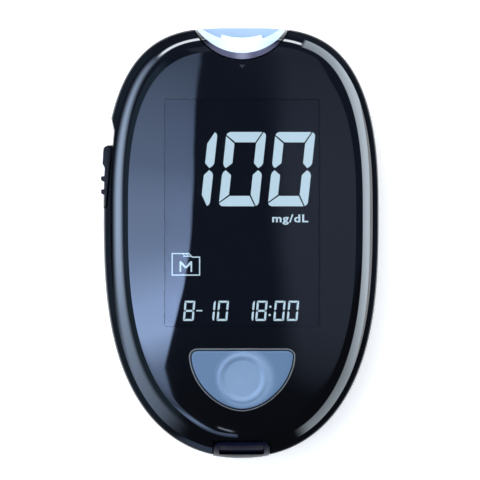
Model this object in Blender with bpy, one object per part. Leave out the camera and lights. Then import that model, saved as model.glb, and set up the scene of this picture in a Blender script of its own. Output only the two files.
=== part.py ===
"""A pocket blood glucose meter, lying on its back with its face up.

+Z points out of the face, +Y to the end that takes the test strip, and the strip ejector is on
the -X side. The origin lies under the middle of the body, on the surface that it rests on.
"""

import math

import bmesh
import bpy
from mathutils import Matrix, Vector

# Plan outline of the body, seen from the face
half_width = 0.0294
upper_reach = 0.0389
lower_reach = 0.0529
upper_side_power = 3.4
upper_end_power = 2.52
lower_side_power = 2.2
lower_end_power = 2.87
outline_points = 72

# Clearances
seat_gap = 0.0003
running_gap = 0.0002
pin_gap = 0.0001
overrun = 0.003

# Thicknesses, stacked from the back to the face
wall = 0.0016
cell_radius = 0.00525
board_thickness = 0.001
light_guide_thickness = 0.001
lcd_thickness = 0.0015
deck_thickness = 0.0012
lens_thickness = 0.0016
face_rise = 0.0018

# Body profile
back_round_width = 0.0065
back_round_height = 0.0095
parting_height = 0.0115
rim_straight = 0.0015
rim_width = 0.00145
edge_roll_height = 0.0033
edge_roll_width = 0.0037
ledge_fall = 0.0002
round_steps = 6
dome_shares = (0.85, 0.65, 0.45, 0.22)

# Display
view_from_top = 0.0154
view_width = 0.0331
view_length = 0.0484
view_corner = 0.0012
lcd_border = 0.0008
lcd_frame_wall = 0.0008
lcd_contact_length = 0.003
lcd_connector_width = 0.03
lcd_connector_depth = 0.0018
corner_steps = 4

# Button
button_drop = 0.00515
button_half_width = 0.01076
button_shoulder = 0.0011
button_depth = 0.0112
button_corner = 0.0014
button_curve_power = 1.8
button_curve_steps = 20
button_flange = 0.0009
button_flange_thickness = 0.0009
button_proud = 0.0005
button_edge_round = 0.0003
button_travel = 0.0005
press_gap = 0.0001
button_ring_radius = 0.0055
button_ring_width = 0.0012
button_ring_height = 0.00035
button_dish_depth = 0.00025
button_ring_root = 0.0009
ring_profile_shares = ((1.0, -0.5), (0.75, 0.8), (0.5, 1.0), (0.2, 0.8), (0.0, 0.3))
dish_profile_shares = ((0.8, 0.4), (0.4, 0.9), (0.0, 1.0))
trim_width = 0.0003
trim_proud = 0.00005
switch_width = 0.0045
switch_body_height = 0.0011
switch_stem_radius = 0.0011

# Strip port
port_reach = 0.0069
port_radius = 0.0109
bezel_width = 0.0013
guide_radius = 0.0114
guide_rim = 0.0008
strip_width = 0.0072
strip_thickness = 0.0005
slot_side_gap = 0.00025
slot_height = 0.0012
jaw_setback = 0.0021
jaw_lip = 0.0006
ramp_start = 0.0008
ramp_drop = 0.0008
port_shelf_thickness = 0.0012
port_segments = 72
socket_half_width = 0.006
socket_floor = 0.0007
socket_back_wall = 0.0011
contact_width = 0.0007
contact_strip = 0.00015
contact_pitch = 0.00265
contact_dip = 0.0002
contact_shares = (0.05, 0.45, 0.72, 0.95)
port_lamp_width = 0.0016
port_lamp_height = 0.0007
port_lamp_side = 0.0078

# Strip ejector
ejector_travel = 0.0045
ejector_top_from_end = 0.02535
ejector_length = 0.0129
ejector_inner_top = 0.0017
ejector_inner_bottom = 0.0005
ejector_head_length = 0.0037
ejector_head_proud = 0.0002
ejector_stem_inset = 0.00025
ejector_rib_length = 0.00085
ejector_rib_proud = 0.0005
ejector_rib_starts = (0.0064, 0.0092)
ejector_corner = 0.0004
ejector_bottom_height = 0.0086
ejector_top_height = 0.0152
notch_run = 0.0059
notch_lead = 0.0026
bed_thickness = 0.0014
link_thickness = 0.0012
link_board_gap = 0.0016
link_bar_width = 0.0026
link_spine_half_width = 0.0015
link_tab_thickness = 0.001
link_rib_thickness = 0.0012
link_rib_side = 0.0199
link_rib_length = 0.009
ejector_spring_side = 0.009
ejector_spring_length = 0.0088
ejector_spring_radius = 0.0014
ejector_spring_wire = 0.0002
ejector_spring_turns = 6
spring_post_width = 0.004
spring_post_thickness = 0.0012

# Battery bay
cell_body_length = 0.0437
cell_nub_length = 0.0008
cell_nub_radius = 0.0019
cell_spacing = 0.011
cell_segments = 28
bay_bottom_from_end = 0.0114
bay_end_room = 0.0055
bay_wall = 0.0012
bay_side_room = 0.0005
contact_sheet = 0.0003
contact_sheet_width = 0.009
contact_sheet_height = 0.0085
contact_coil_radius = 0.0028
contact_coil_tip_radius = 0.0019
contact_coil_wire = 0.00025
contact_coil_turns = 4
turn_steps = 10

# Battery door
door_lip = 0.001
door_lip_height = 0.00095
door_side_height = 0.0047
door_edge_gap = 0.0003
grip_length = 0.007
grip_depth = 0.0006
grip_width = 0.0011
grip_pitch = 0.0024
grip_count = 3
grip_from_end = 0.0045

# Data port cover and jack
cover_width = 0.0119
cover_reach = 0.0036
cover_proud = 0.0002
cover_skin = 0.0016
cover_corner = 0.0012
cover_root = 0.0006
hinge_drop = 0.0015
hinge_from_end = 0.0014
ear_drop = 0.0003
knuckle_radius = 0.0012
knuckle_length = 0.008
hinge_pin_radius = 0.0006
hinge_pin_length = 0.011
hinge_segments = 24
web_thickness = 0.0011
ear_block_width = 0.0132
ear_block_depth = 0.0026
ear_block_height = 0.0035
recess_width = 0.0096
recess_depth = 0.00045
recess_margin = 0.0005
recess_length = 0.0022
jack_wall_thickness = 0.0013
jack_wall_width = 0.015
jack_width = 0.0074
jack_height = 0.0022
jack_shell = 0.0003
jack_tongue_width = 0.0036
jack_tongue_height = 0.0006

# Board and fixings
board_inset = 0.0038
boss_radius = 0.003
upper_screw_side = 0.0133
screw_radius = 0.001
screw_head_radius = 0.0019
screw_head_height = 0.0014
screw_seat_height = 0.007
screw_tip_gap = 0.0005
screw_slot_width = 0.0005
screw_slot_depth = 0.0006
round_segments = 20
boss_overlap = 0.0001
chip_width = 0.006
chip_height = 0.001
chip_clear = 0.003
chip_ahead = 0.004
buzzer_radius = 0.0045
buzzer_height = 0.0022

# Heights that follow from the stack
cell_axis_height = wall + seat_gap + cell_radius
board_bottom = cell_axis_height + cell_radius + seat_gap
board_top = board_bottom + board_thickness
light_guide_bottom = board_top + seat_gap
lcd_bottom = light_guide_bottom + light_guide_thickness + seat_gap
lcd_top = lcd_bottom + lcd_thickness
deck_bottom = lcd_top + seat_gap
deck_top = deck_bottom + deck_thickness
face_edge_height = deck_top + seat_gap + lens_thickness
body_height = face_edge_height + face_rise
rim_turn_height = parting_height + rim_straight
rim_top_height = face_edge_height - edge_roll_height
lens_lip_height = rim_top_height + seat_gap
face_inset = rim_width + edge_roll_width

# Places along the body
widest_y = (lower_reach - upper_reach) / 2
top_end = widest_y + upper_reach
bottom_end = widest_y - lower_reach
view_centre_y = top_end - view_from_top - view_length / 2
lcd_width = view_width + 2 * lcd_border
lcd_length = view_length + 2 * lcd_border
lcd_frame_half_width = lcd_width / 2 + seat_gap + lcd_frame_wall
lcd_frame_half_length = lcd_length / 2 + seat_gap + lcd_frame_wall
lcd_frame_top_y = view_centre_y + lcd_frame_half_length
lcd_frame_bottom_y = view_centre_y - lcd_frame_half_length
button_top_y = view_centre_y - view_length / 2 - button_drop
button_line_y = button_top_y - button_shoulder
button_bottom_y = button_line_y - button_depth
ring_centre_y = button_top_y - button_ring_radius - trim_width
bay_bottom_y = bottom_end + bay_bottom_from_end
bay_top_y = bay_bottom_y + cell_body_length + cell_nub_length + bay_end_room
bay_half_width = cell_spacing / 2 + cell_radius + bay_side_room
door_half_width = bay_half_width
door_end_y = bay_top_y - seat_gap
bay_wall_inner = door_half_width + door_lip + 2 * door_edge_gap
lower_screw_side = bay_wall_inner + bay_wall + boss_radius - boss_overlap
upper_screw_y = lcd_frame_top_y + seat_gap + boss_radius
lower_screw_y = lcd_frame_bottom_y - seat_gap - boss_radius
port_inner_y = top_end - port_reach
port_centre_y = port_inner_y + port_radius
guide_inner_y = port_inner_y + bezel_width
guide_centre_y = guide_inner_y + guide_radius
port_floor = parting_height + seat_gap
slot_bottom = board_top + seat_gap + socket_floor
slot_top = slot_bottom + slot_height
slot_half_width = strip_width / 2 + slot_side_gap
socket_back_y = lcd_frame_top_y + seat_gap
socket_front_y = port_inner_y - 2 * seat_gap
link_top = board_bottom - link_board_gap
link_bottom = link_top - link_thickness
link_bar_y = bay_top_y + bay_wall + seat_gap
link_tab_y = socket_back_y + seat_gap
hinge_height = parting_height - hinge_drop
hinge_y = bottom_end + hinge_from_end
cover_bottom = parting_height + cover_root
cover_top_y = bottom_end + cover_reach - cover_proud
jack_wall_y = cover_top_y + seat_gap
jack_end_y = button_bottom_y - button_flange - seat_gap
ejector_top_y = top_end - ejector_top_from_end
ejector_bottom_y = ejector_top_y - ejector_length


def clear_scene():
    for old in list(bpy.data.objects):
        bpy.data.objects.remove(old, do_unlink=True)


def new_collection(name):
    group = bpy.data.collections.new(name)
    bpy.context.scene.collection.children.link(group)
    return group


clear_scene()
meter = new_collection("blood_glucose_meter")
cutters = new_collection("cutters")


def make_material(name, colour, roughness, metallic=0.0):
    material = bpy.data.materials.new(name)
    material.use_nodes = True
    shader = material.node_tree.nodes["Principled BSDF"]
    shader.inputs["Base Color"].default_value = (*colour, 1.0)
    shader.inputs["Roughness"].default_value = roughness
    shader.inputs["Metallic"].default_value = metallic
    material.diffuse_color = (*colour, 1.0)
    return material


def mesh_object(name, bm, colour=None, roughness=0.5, metallic=0.0):
    """A node of the meter with its own material or, with no colour, a hidden cutter."""
    bmesh.ops.recalc_face_normals(bm, faces=bm.faces)
    mesh = bpy.data.meshes.new(name)
    bm.to_mesh(mesh)
    bm.free()
    made = bpy.data.objects.new(name, mesh)
    if colour is None:
        cutters.objects.link(made)
        made.hide_render = True
        made.display_type = "WIRE"
    else:
        meter.objects.link(made)
        mesh.materials.append(make_material(name + "_material", colour, roughness, metallic))
        mesh.shade_smooth()
        mesh.set_sharp_from_angle(angle=math.radians(35))
    return made


def boolean(target, tool, operation):
    step = target.modifiers.new(operation.lower() + "_" + tool.name, "BOOLEAN")
    step.operation = operation
    step.solver = "EXACT"
    step.object = tool
    return target


def cut(target, *tools):
    for tool in tools:
        boolean(target, tool, "DIFFERENCE")
    return target


def join(target, *tools):
    for tool in tools:
        boolean(target, tool, "UNION")


def keep_inside(target, *tools):
    for tool in tools:
        boolean(target, tool, "INTERSECT")


def box(name, low, high, **finish):
    """A box between two corners."""
    low, high = Vector(low), Vector(high)
    bm = bmesh.new()
    bmesh.ops.create_cube(bm, size=1.0)
    bmesh.ops.scale(bm, vec=high - low, verts=bm.verts)
    bmesh.ops.translate(bm, vec=(low + high) / 2, verts=bm.verts)
    return mesh_object(name, bm, **finish)


def rod(name, radius, start, end, segments=round_segments, **finish):
    """A round bar between two points."""
    start, end = Vector(start), Vector(end)
    bm = bmesh.new()
    bmesh.ops.create_cone(
        bm,
        cap_ends=True,
        segments=segments,
        radius1=radius,
        radius2=radius,
        depth=(end - start).length,
    )
    turn = Vector((0, 0, 1)).rotation_difference(end - start).to_matrix()
    bmesh.ops.rotate(bm, cent=(0, 0, 0), matrix=turn, verts=bm.verts)
    bmesh.ops.translate(bm, vec=(start + end) / 2, verts=bm.verts)
    return mesh_object(name, bm, **finish)


def prism(name, points, along, **finish):
    """A flat outline of 3D points, swept along a vector."""
    bm = bmesh.new()
    face = bm.faces.new([bm.verts.new(point) for point in points])
    swept = bmesh.ops.extrude_face_region(bm, geom=[face])
    raised = [item for item in swept["geom"] if isinstance(item, bmesh.types.BMVert)]
    bmesh.ops.translate(bm, vec=along, verts=raised)
    return mesh_object(name, bm, **finish)


def loft(name, rings, **finish):
    """A closed skin over a stack of rings that have as many points each."""
    bm = bmesh.new()
    loops = []
    for ring in rings:
        verts = [bm.verts.new(point) for point in ring]
        edges = [bm.edges.new((verts[n - 1], verts[n])) for n in range(len(verts))]
        loops.append(edges)
    for lower, upper in zip(loops, loops[1:]):
        bmesh.ops.bridge_loops(bm, edges=lower + upper)
    for end in (loops[0], loops[-1]):
        bmesh.ops.contextual_create(bm, geom=end)
    return mesh_object(name, bm, **finish)


def turned(name, profile, segments=round_segments, **finish):
    """A solid of revolution about Z, from (radius, height) points that start and end at radius 0."""
    bm = bmesh.new()
    verts = [bm.verts.new((radius, 0, height)) for radius, height in profile]
    edges = [bm.edges.new(pair) for pair in zip(verts, verts[1:])]
    bmesh.ops.spin(
        bm,
        geom=verts + edges,
        cent=(0, 0, 0),
        axis=(0, 0, 1),
        angle=math.tau,
        steps=segments,
        use_merge=True,
    )
    bmesh.ops.remove_doubles(bm, verts=bm.verts, dist=pin_gap / 100)
    return mesh_object(name, bm, **finish)


def outline_shares():
    """Unit places round the plan outline, evenly spaced along it: (side, end) of each point."""

    def place(angle):
        upper = angle >= 0
        side_power = upper_side_power if upper else lower_side_power
        end_power = upper_end_power if upper else lower_end_power
        side = abs(math.cos(angle)) ** (2 / side_power)
        end = abs(math.sin(angle)) ** (2 / end_power)
        return side, end if upper else -end

    def spot(angle):
        side, end = place(angle)
        return Vector((side * half_width, end * (upper_reach if end > 0 else lower_reach)))

    fine = 2000
    angles = [math.pi * (step / fine - 0.5) for step in range(fine + 1)]
    spots = [spot(angle) for angle in angles]
    lengths = [0]
    for before, after in zip(spots, spots[1:]):
        lengths.append(lengths[-1] + (after - before).length)
    half = outline_points // 2
    right, at = [], 0
    for step in range(half + 1):
        wanted = lengths[-1] * step / half
        while at < fine and lengths[at] < wanted:
            at += 1
        right.append(place(angles[at]))
    left = [(-side, end) for side, end in reversed(right[1:-1])]
    return right + left


plan_shares = outline_shares()


def outline_ring(inset, height):
    """The plan outline, moved in by an inset, at a height."""
    ring = []
    for side, end in plan_shares:
        reach = upper_reach if end > 0 else lower_reach
        ring.append(Vector((side * (half_width - inset), widest_y + end * (reach - inset), height)))
    return ring


def dome_ring(share, drop):
    """A ring of the domed face, or of the surface at a drop under it."""
    height = face_edge_height - drop + face_rise * (1 - share**2)
    ring = []
    for point in outline_ring(face_inset, height):
        ring.append(Vector((point.x * share, widest_y + (point.y - widest_y) * share, height)))
    return ring


def face_height(y):
    """Height of the domed face on the middle line."""
    reach = (upper_reach if y > widest_y else lower_reach) - face_inset
    return face_edge_height + face_rise * (1 - ((y - widest_y) / reach) ** 2)


def corner(inset, height, width, rise, steps=round_steps):
    """(inset, height) points of a rounded edge, upright at its start and level at its end."""
    points = []
    for step in range(steps + 1):
        angle = math.pi / 2 * step / steps
        points.append((inset + width * (1 - math.cos(angle)), height + rise * math.sin(angle)))
    return points


def rings_of(profile):
    return [outline_ring(inset, height) for inset, height in profile]


def back_profile(depth):
    """The rounded back edge at a depth under the surface, from the back up."""
    points = corner(depth, back_round_height, back_round_width - depth, depth - back_round_height)
    return points[::-1]


def body_envelope(name, depth, **finish):
    """The whole body in one smooth shape, at a depth under its surface."""
    side = [(depth, rim_turn_height)]
    roll = corner(depth, rim_turn_height, face_inset - depth, face_edge_height - depth - rim_turn_height)
    rings = rings_of(back_profile(depth) + side + roll[1:])
    rings += [dome_ring(share, depth) for share in dome_shares]
    return loft(name, rings, **finish)


def rounded_rectangle(width, length, centre_y, radius, height):
    """Points of a rectangle with round corners, at a height."""
    points = []
    for quarter, (side, end) in enumerate(((1, 1), (-1, 1), (-1, -1), (1, -1))):
        for step in range(corner_steps + 1):
            angle = math.pi / 2 * (quarter + step / corner_steps)
            x = side * (width / 2 - radius) + radius * math.cos(angle)
            y = centre_y + end * (length / 2 - radius) + radius * math.sin(angle)
            points.append(Vector((x, y, height)))
    return points


def button_height(y, proud):
    """Height over the lens, which slopes evenly along the button."""
    high, low = face_height(button_top_y), face_height(button_bottom_y)
    return low + (high - low) * (y - button_bottom_y) / (button_top_y - button_bottom_y) + proud


def button_ring(grow, height=None, proud=0):
    """The button's crescent outline, grown by a margin, at a height or over the sloping lens."""
    side, depth = button_half_width + grow, button_depth + grow
    corner_width, rise = button_corner + grow, button_shoulder + grow
    right = []
    for step in range(button_curve_steps + 1):
        angle = math.pi / 2 * step / button_curve_steps
        across = side * math.sin(angle) ** (2 / button_curve_power)
        along = depth * math.cos(angle) ** (2 / button_curve_power)
        right.append((across, button_line_y - along))
    for step in range(1, corner_steps + 1):
        angle = math.pi / 2 * step / corner_steps
        across = side - corner_width * (1 - math.cos(angle))
        right.append((across, button_line_y + rise * math.sin(angle)))
    outline = right + [(-across, along) for across, along in reversed(right[1:])]
    points = []
    for x, y in outline:
        points.append(Vector((x, y, button_height(y, proud) if height is None else height)))
    return points


def coil(name, start, end, start_radius, end_radius, wire, turns, **finish):
    """A coil spring of round wire along Y."""
    curve = bpy.data.curves.new(name, "CURVE")
    curve.dimensions = "3D"
    curve.bevel_depth = wire
    curve.bevel_resolution = 1
    curve.use_fill_caps = True
    spline = curve.splines.new("POLY")
    count = turns * turn_steps + 1
    spline.points.add(count - 1)
    start, end = Vector(start), Vector(end)
    for number, point in enumerate(spline.points):
        share = number / (count - 1)
        angle = math.tau * turns * share
        radius = start_radius + (end_radius - start_radius) * share
        middle = start + (end - start) * share
        out = Vector((math.cos(angle), 0, math.sin(angle))) * radius
        point.co = (middle + out).to_4d()
    shaped = bpy.data.objects.new(name + "_curve", curve)
    cutters.objects.link(shaped)
    bpy.context.view_layer.update()
    evaluated = shaped.evaluated_get(bpy.context.evaluated_depsgraph_get())
    bm = bmesh.new()
    bm.from_mesh(bpy.data.meshes.new_from_object(evaluated))
    bmesh.ops.remove_doubles(bm, verts=bm.verts, dist=wire / 100)
    bpy.data.objects.remove(shaped, do_unlink=True)
    return mesh_object(name, bm, **finish)


def set_origin(made, point):
    """Put an object's origin on a point without moving its shape."""
    point = Vector(point)
    made.data.transform(Matrix.Translation(-point))
    made.location = point


def mirrored(low, high):
    """The corners of a box and of its mirror image across the middle plane."""
    return (low, high), ((-high[0], low[1], low[2]), (-low[0], high[1], high[2]))


black_shell = dict(colour=(0.012, 0.013, 0.017), roughness=0.22)
dark_plastic = dict(colour=(0.022, 0.023, 0.030), roughness=0.35)
gloss_black = dict(colour=(0.006, 0.007, 0.011), roughness=0.06)
clear_window = dict(colour=(0.80, 0.85, 0.90), roughness=0.05)
button_blue = dict(colour=(0.25, 0.38, 0.62), roughness=0.35)
port_white = dict(colour=(0.86, 0.93, 1.0), roughness=0.3)
bezel_lilac = dict(colour=(0.40, 0.40, 0.58), roughness=0.25)
steel = dict(colour=(0.62, 0.63, 0.65), roughness=0.3, metallic=1.0)
bright_trim = dict(colour=(0.75, 0.74, 0.72), roughness=0.15, metallic=1.0)
spring_steel = dict(colour=(0.55, 0.55, 0.56), roughness=0.3, metallic=1.0)
board_green = dict(colour=(0.03, 0.16, 0.07), roughness=0.5)
display_dark = dict(colour=(0.010, 0.012, 0.018), roughness=0.2)
milky_plastic = dict(colour=(0.80, 0.82, 0.84), roughness=0.4)
socket_black = dict(colour=(0.02, 0.02, 0.02), roughness=0.5)
gold_plate = dict(colour=(0.80, 0.60, 0.25), roughness=0.25, metallic=1.0)
cell_jacket = dict(colour=(0.10, 0.11, 0.12), roughness=0.35)
rubber_grey = dict(colour=(0.12, 0.12, 0.12), roughness=0.7)


screw_places = []
for screw_side in (-1, 1):
    screw_places.append((screw_side * upper_screw_side, upper_screw_y))
    screw_places.append((screw_side * lower_screw_side, lower_screw_y))


def port_cylinder(name, radius, centre_y, low=port_floor, **finish):
    high = (0, centre_y, body_height + overrun)
    return rod(name, radius, (0, centre_y, low), high, segments=port_segments, **finish)


def door_track(name, grow, end_y):
    """T-shaped space of the battery door: narrow at the back and lipped inside, along Y."""
    narrow, wide = door_half_width + grow, door_half_width + door_lip + grow
    top = door_side_height + grow
    step = door_lip_height - grow
    profile = (
        (-narrow, -overrun),
        (narrow, -overrun),
        (narrow, step),
        (wide, step),
        (wide, top),
        (-wide, top),
        (-wide, step),
        (-narrow, step),
    )
    start_y = bottom_end - overrun
    points = [Vector((x, start_y, height)) for x, height in profile]
    return prism(name, points, (0, end_y - start_y, 0))


def notch_outline(gap):
    """Plan of the side notch that the ejector runs in, from the body's skin in to its floor."""
    outside = -half_width - overrun
    return (
        (outside, ejector_bottom_y - gap),
        (-half_width + ejector_inner_bottom + gap, ejector_bottom_y - gap),
        (-half_width + ejector_inner_top + gap, ejector_top_y),
        (-half_width + ejector_inner_top + 2 * gap, ejector_top_y + notch_run - notch_lead),
        (-half_width + ejector_inner_top, ejector_top_y + notch_run),
        (outside, ejector_top_y + notch_run),
    )


def ejector_notch():
    """The notch runs up past the rim, so that the slider shows from the face."""
    low = ejector_bottom_height - seat_gap
    points = [Vector((x, y, low)) for x, y in notch_outline(seat_gap)]
    return prism("ejector_notch", points, (0, 0, body_height - low))


def link_slot():
    """The way of the ejector's foot through the housing's side, open at the top."""
    low = (-half_width - overrun, link_bar_y - seat_gap, link_bottom - seat_gap)
    far_x = -half_width + ejector_inner_top + 2 * seat_gap + 2 * bed_thickness
    far_y = link_bar_y + link_bar_width + ejector_travel + seat_gap
    return box("link_slot", low, (far_x, far_y, parting_height + seat_gap / 2))


def slider_bed(name, low_height, high_height):
    """Thicker wall behind the ejector's notch."""
    low_x = -half_width + ejector_inner_bottom + 2 * seat_gap
    high_x = -half_width + ejector_inner_top + seat_gap + bed_thickness
    low = (low_x, ejector_bottom_y - 2 * wall, low_height)
    bed = box(name, low, (high_x, ejector_top_y + notch_run + wall, high_height))
    return bed


def make_rear_housing(notch, slot):
    housing = loft("rear_housing", rings_of(back_profile(0) + [(0, parting_height)]), **black_shell)
    inside = rings_of(back_profile(wall) + [(wall, parting_height + overrun)])
    cut(housing, loft("rear_cavity", inside))
    cut(housing, door_track("door_opening", door_edge_gap, bay_top_y))
    root = wall / 2
    bay_top_height = board_bottom - seat_gap
    bed = slider_bed("rear_slider_bed", back_round_height - wall, parting_height)
    keep_inside(bed, body_envelope("rear_bed_limit", wall / 2))
    join(housing, bed)
    low = (bay_wall_inner, bay_bottom_y - bay_wall, root)
    high = (bay_wall_inner + bay_wall, bay_top_y + bay_wall, bay_top_height)
    for number, corners in enumerate(mirrored(low, high)):
        join(housing, box(f"bay_side_{number}", *corners))
    across = bay_wall_inner + bay_wall / 2
    far_low = (-across, bay_top_y, root)
    far_high = (across, bay_top_y + bay_wall, bay_top_height)
    near_low = (-across, bay_bottom_y - bay_wall, wall + seat_gap)
    near_high = (across, bay_bottom_y, bay_top_height)
    join(housing, box("bay_far_wall", far_low, far_high), box("bay_near_wall", near_low, near_high))
    for number, (x, y) in enumerate(screw_places):
        join(housing, rod(f"rear_boss_{number}", boss_radius, (x, y, root), (x, y, bay_top_height)))
    rib_top = link_bottom - seat_gap
    rib_half = link_rib_thickness / 2
    side_low = (-link_rib_side - rib_half, link_bar_y, root)
    side_high = (-link_rib_side + rib_half, link_bar_y + link_rib_length, rib_top)
    middle_low = (-rib_half, bay_top_y, root)
    middle_high = (rib_half, socket_front_y, rib_top)
    join(housing, box("link_rib_side", side_low, side_high))
    join(housing, box("link_rib_middle", middle_low, middle_high))
    post_y = link_bar_y + link_bar_width + ejector_spring_length + 2 * running_gap
    post_low = (-ejector_spring_side - spring_post_width / 2, post_y, root)
    post_high = (
        -ejector_spring_side + spring_post_width / 2,
        post_y + spring_post_thickness,
        board_bottom - seat_gap,
    )
    join(housing, box("spring_post", post_low, post_high))
    shelf_low = (-port_radius, port_inner_y, parting_height - port_shelf_thickness)
    shelf_high = (port_radius, top_end - wall / 2, parting_height)
    join(housing, box("port_shelf", shelf_low, shelf_high))
    ear_low = (-ear_block_width / 2, hinge_y - wall / 4, parting_height - ear_block_height)
    ear_high = (ear_block_width / 2, hinge_y - wall / 4 + ear_block_depth, parting_height)
    join(housing, box("ear_block", ear_low, ear_high))
    pocket_half = knuckle_length / 2 + seat_gap
    pocket_low = (-pocket_half, bottom_end - overrun, hinge_height - knuckle_radius - seat_gap)
    pocket_high = (pocket_half, hinge_y + knuckle_radius + seat_gap, parting_height + overrun)
    side = cover_width / 2 + seat_gap
    turn_low = (-side, bottom_end - overrun, parting_height - ear_drop)
    turn_high = (side, pocket_high[1], parting_height + overrun)
    pocket = box("knuckle_pocket", pocket_low, pocket_high)
    cut(housing, pocket, box("cover_turning_room", turn_low, turn_high))
    bore_half = hinge_pin_length / 2 + running_gap
    bore_ends = ((-bore_half, hinge_y, hinge_height), (bore_half, hinge_y, hinge_height))
    bore_radius = hinge_pin_radius + pin_gap / 2
    cut(housing, rod("ear_bore", bore_radius, *bore_ends, segments=hinge_segments))
    cut(housing, notch, slot)
    for number, (x, y) in enumerate(screw_places):
        well = rod(
            f"screw_well_{number}",
            screw_head_radius + seat_gap,
            (x, y, -overrun),
            (x, y, screw_seat_height + seat_gap),
        )
        hole_top = (x, y, board_bottom)
        hole = rod(f"rear_screw_hole_{number}", screw_radius + pin_gap, (x, y, -overrun), hole_top)
        cut(housing, well, hole)
    return housing


def make_front_housing(notch, port_hole, cover_pocket):
    lip_inset = rim_width + lens_thickness + seat_gap
    outside = [(0, parting_height + seat_gap)]
    outside += corner(0, rim_turn_height, rim_width, rim_top_height - rim_turn_height)
    outside += [(lip_inset, rim_top_height - ledge_fall), (face_inset + running_gap, deck_top)]
    inside = [
        (wall, parting_height - overrun),
        (wall, rim_turn_height),
        (rim_width + wall, rim_top_height - wall),
        (face_inset, deck_bottom),
    ]
    housing = loft("front_housing", rings_of(outside), **black_shell)
    cut(housing, loft("front_cavity", rings_of(inside)))
    block_low = (-jack_wall_width / 2, bottom_end, parting_height + seat_gap)
    block_high = (jack_wall_width / 2, jack_wall_y + jack_wall_thickness / 2, rim_top_height - wall / 4)
    wall_low = (-jack_wall_width / 2, jack_wall_y, parting_height + wall / 2)
    wall_high = (jack_wall_width / 2, jack_wall_y + jack_wall_thickness, body_height)
    bed = slider_bed("front_slider_bed", parting_height + seat_gap, rim_top_height - ledge_fall)
    for block, depth in (
        (bed, wall / 2),
        (box("jack_block", block_low, block_high), wall / 2),
        (box("jack_wall", wall_low, wall_high), lens_thickness + deck_thickness),
    ):
        keep_inside(block, body_envelope(block.name + "_limit", depth))
        join(housing, block)
    boss_low = board_top + seat_gap
    boss_limit = body_envelope("front_boss_limit", wall / 2)
    for number, (x, y) in enumerate(screw_places):
        boss_high = (x, y, deck_bottom + deck_thickness / 2)
        boss = rod(f"front_boss_{number}", boss_radius, (x, y, boss_low), boss_high)
        keep_inside(boss, boss_limit)
        join(housing, boss)
    view = rounded_rectangle(view_width, view_length, view_centre_y, view_corner, deck_bottom - overrun)
    cut(housing, prism("deck_window", view, (0, 0, deck_thickness + 2 * overrun)))
    hole = button_ring(running_gap, height=deck_bottom - overrun)
    cut(housing, prism("deck_button_hole", hole, (0, 0, deck_thickness + 2 * overrun)))
    cut(housing, port_hole, cover_pocket)
    hole_low = (-jack_width / 2 - running_gap, bottom_end, board_top + running_gap / 2)
    hole_high = (
        jack_width / 2 + running_gap,
        jack_wall_y + jack_wall_thickness + overrun / 2,
        board_top + seat_gap + jack_height + running_gap,
    )
    cut(housing, box("jack_opening", hole_low, hole_high))
    cut(housing, notch)
    for number, (x, y) in enumerate(screw_places):
        low = (x, y, board_top)
        hole = rod(f"front_screw_hole_{number}", screw_radius + pin_gap, low, (x, y, deck_bottom))
        cut(housing, hole)
    return housing


def lens_shell(name, hollow, **finish):
    """The whole domed shell of the face, hollowed from below."""
    roll = corner(rim_width, lens_lip_height, edge_roll_width, face_edge_height - lens_lip_height)
    shell = loft(name, rings_of(roll) + [dome_ring(s, 0) for s in dome_shares], **finish)
    return cut(shell, hollow)


def window_prism(name, play):
    """The display's view through the face, narrower by a play."""
    width, length = view_width - play, view_length - play
    view = rounded_rectangle(width, length, view_centre_y, view_corner - play / 2, deck_top - overrun)
    return prism(name, view, (0, 0, body_height - deck_top + 2 * overrun))


def make_face_lens(port_hole, cover_pocket):
    inner_width = edge_roll_width - lens_thickness
    inner_rise = face_edge_height - lens_thickness - lens_lip_height
    inner = [(rim_width + lens_thickness, lens_lip_height - overrun)]
    inner += corner(rim_width + lens_thickness, lens_lip_height, inner_width, inner_rise)
    rings = rings_of(inner) + [dome_ring(share, lens_thickness) for share in dome_shares]
    hollow = loft("lens_hollow", rings)
    lens = lens_shell("face_lens", hollow, **gloss_black)
    hole = button_ring(running_gap + trim_width + pin_gap, height=deck_top)
    button_hole = prism("lens_button_hole", hole, (0, 0, body_height - deck_top + overrun))
    cut(lens, port_hole, cover_pocket, button_hole, window_prism("lens_window_opening", 0))
    window = lens_shell("display_window", hollow, **clear_window)
    keep_inside(window, window_prism("window_limit", seat_gap))
    return lens


def make_button():
    flange_top = deck_bottom - seat_gap
    flange_bottom = flange_top - button_flange_thickness
    rings = [
        button_ring(button_flange, height=flange_bottom),
        button_ring(button_flange, height=flange_top - ledge_fall),
        button_ring(0, height=flange_top),
        button_ring(0, proud=button_proud - button_edge_round),
        button_ring(-button_edge_round, proud=button_proud),
    ]
    button = loft("main_button", rings, **button_blue)
    inner = button_ring_radius - button_ring_width
    profile = [(0, -button_ring_root), (button_ring_radius, -button_ring_root)]
    for in_share, up_share in ring_profile_shares:
        profile.append((inner + button_ring_width * in_share, button_ring_height * up_share))
    for out_share, down_share in dish_profile_shares:
        profile.append((inner * out_share, -button_dish_depth * down_share))
    puck = turned("button_ring_puck", profile, segments=2 * round_segments)
    high, low = button_height(button_top_y, 0), button_height(button_bottom_y, 0)
    tilt = math.atan((high - low) / (button_top_y - button_bottom_y))
    place = Vector((0, ring_centre_y, button_height(ring_centre_y, button_proud)))
    puck.matrix_world = Matrix.Translation(place) @ Matrix.Rotation(tilt, 4, "X")
    well = rod(
        "button_ring_well",
        inner,
        place - Vector((0, 0, button_ring_root / 2)),
        place + Vector((0, 0, overrun)),
        segments=2 * round_segments,
    )
    cut(button, well)
    join(button, puck)
    set_origin(button, place)
    return button, flange_bottom


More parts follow.
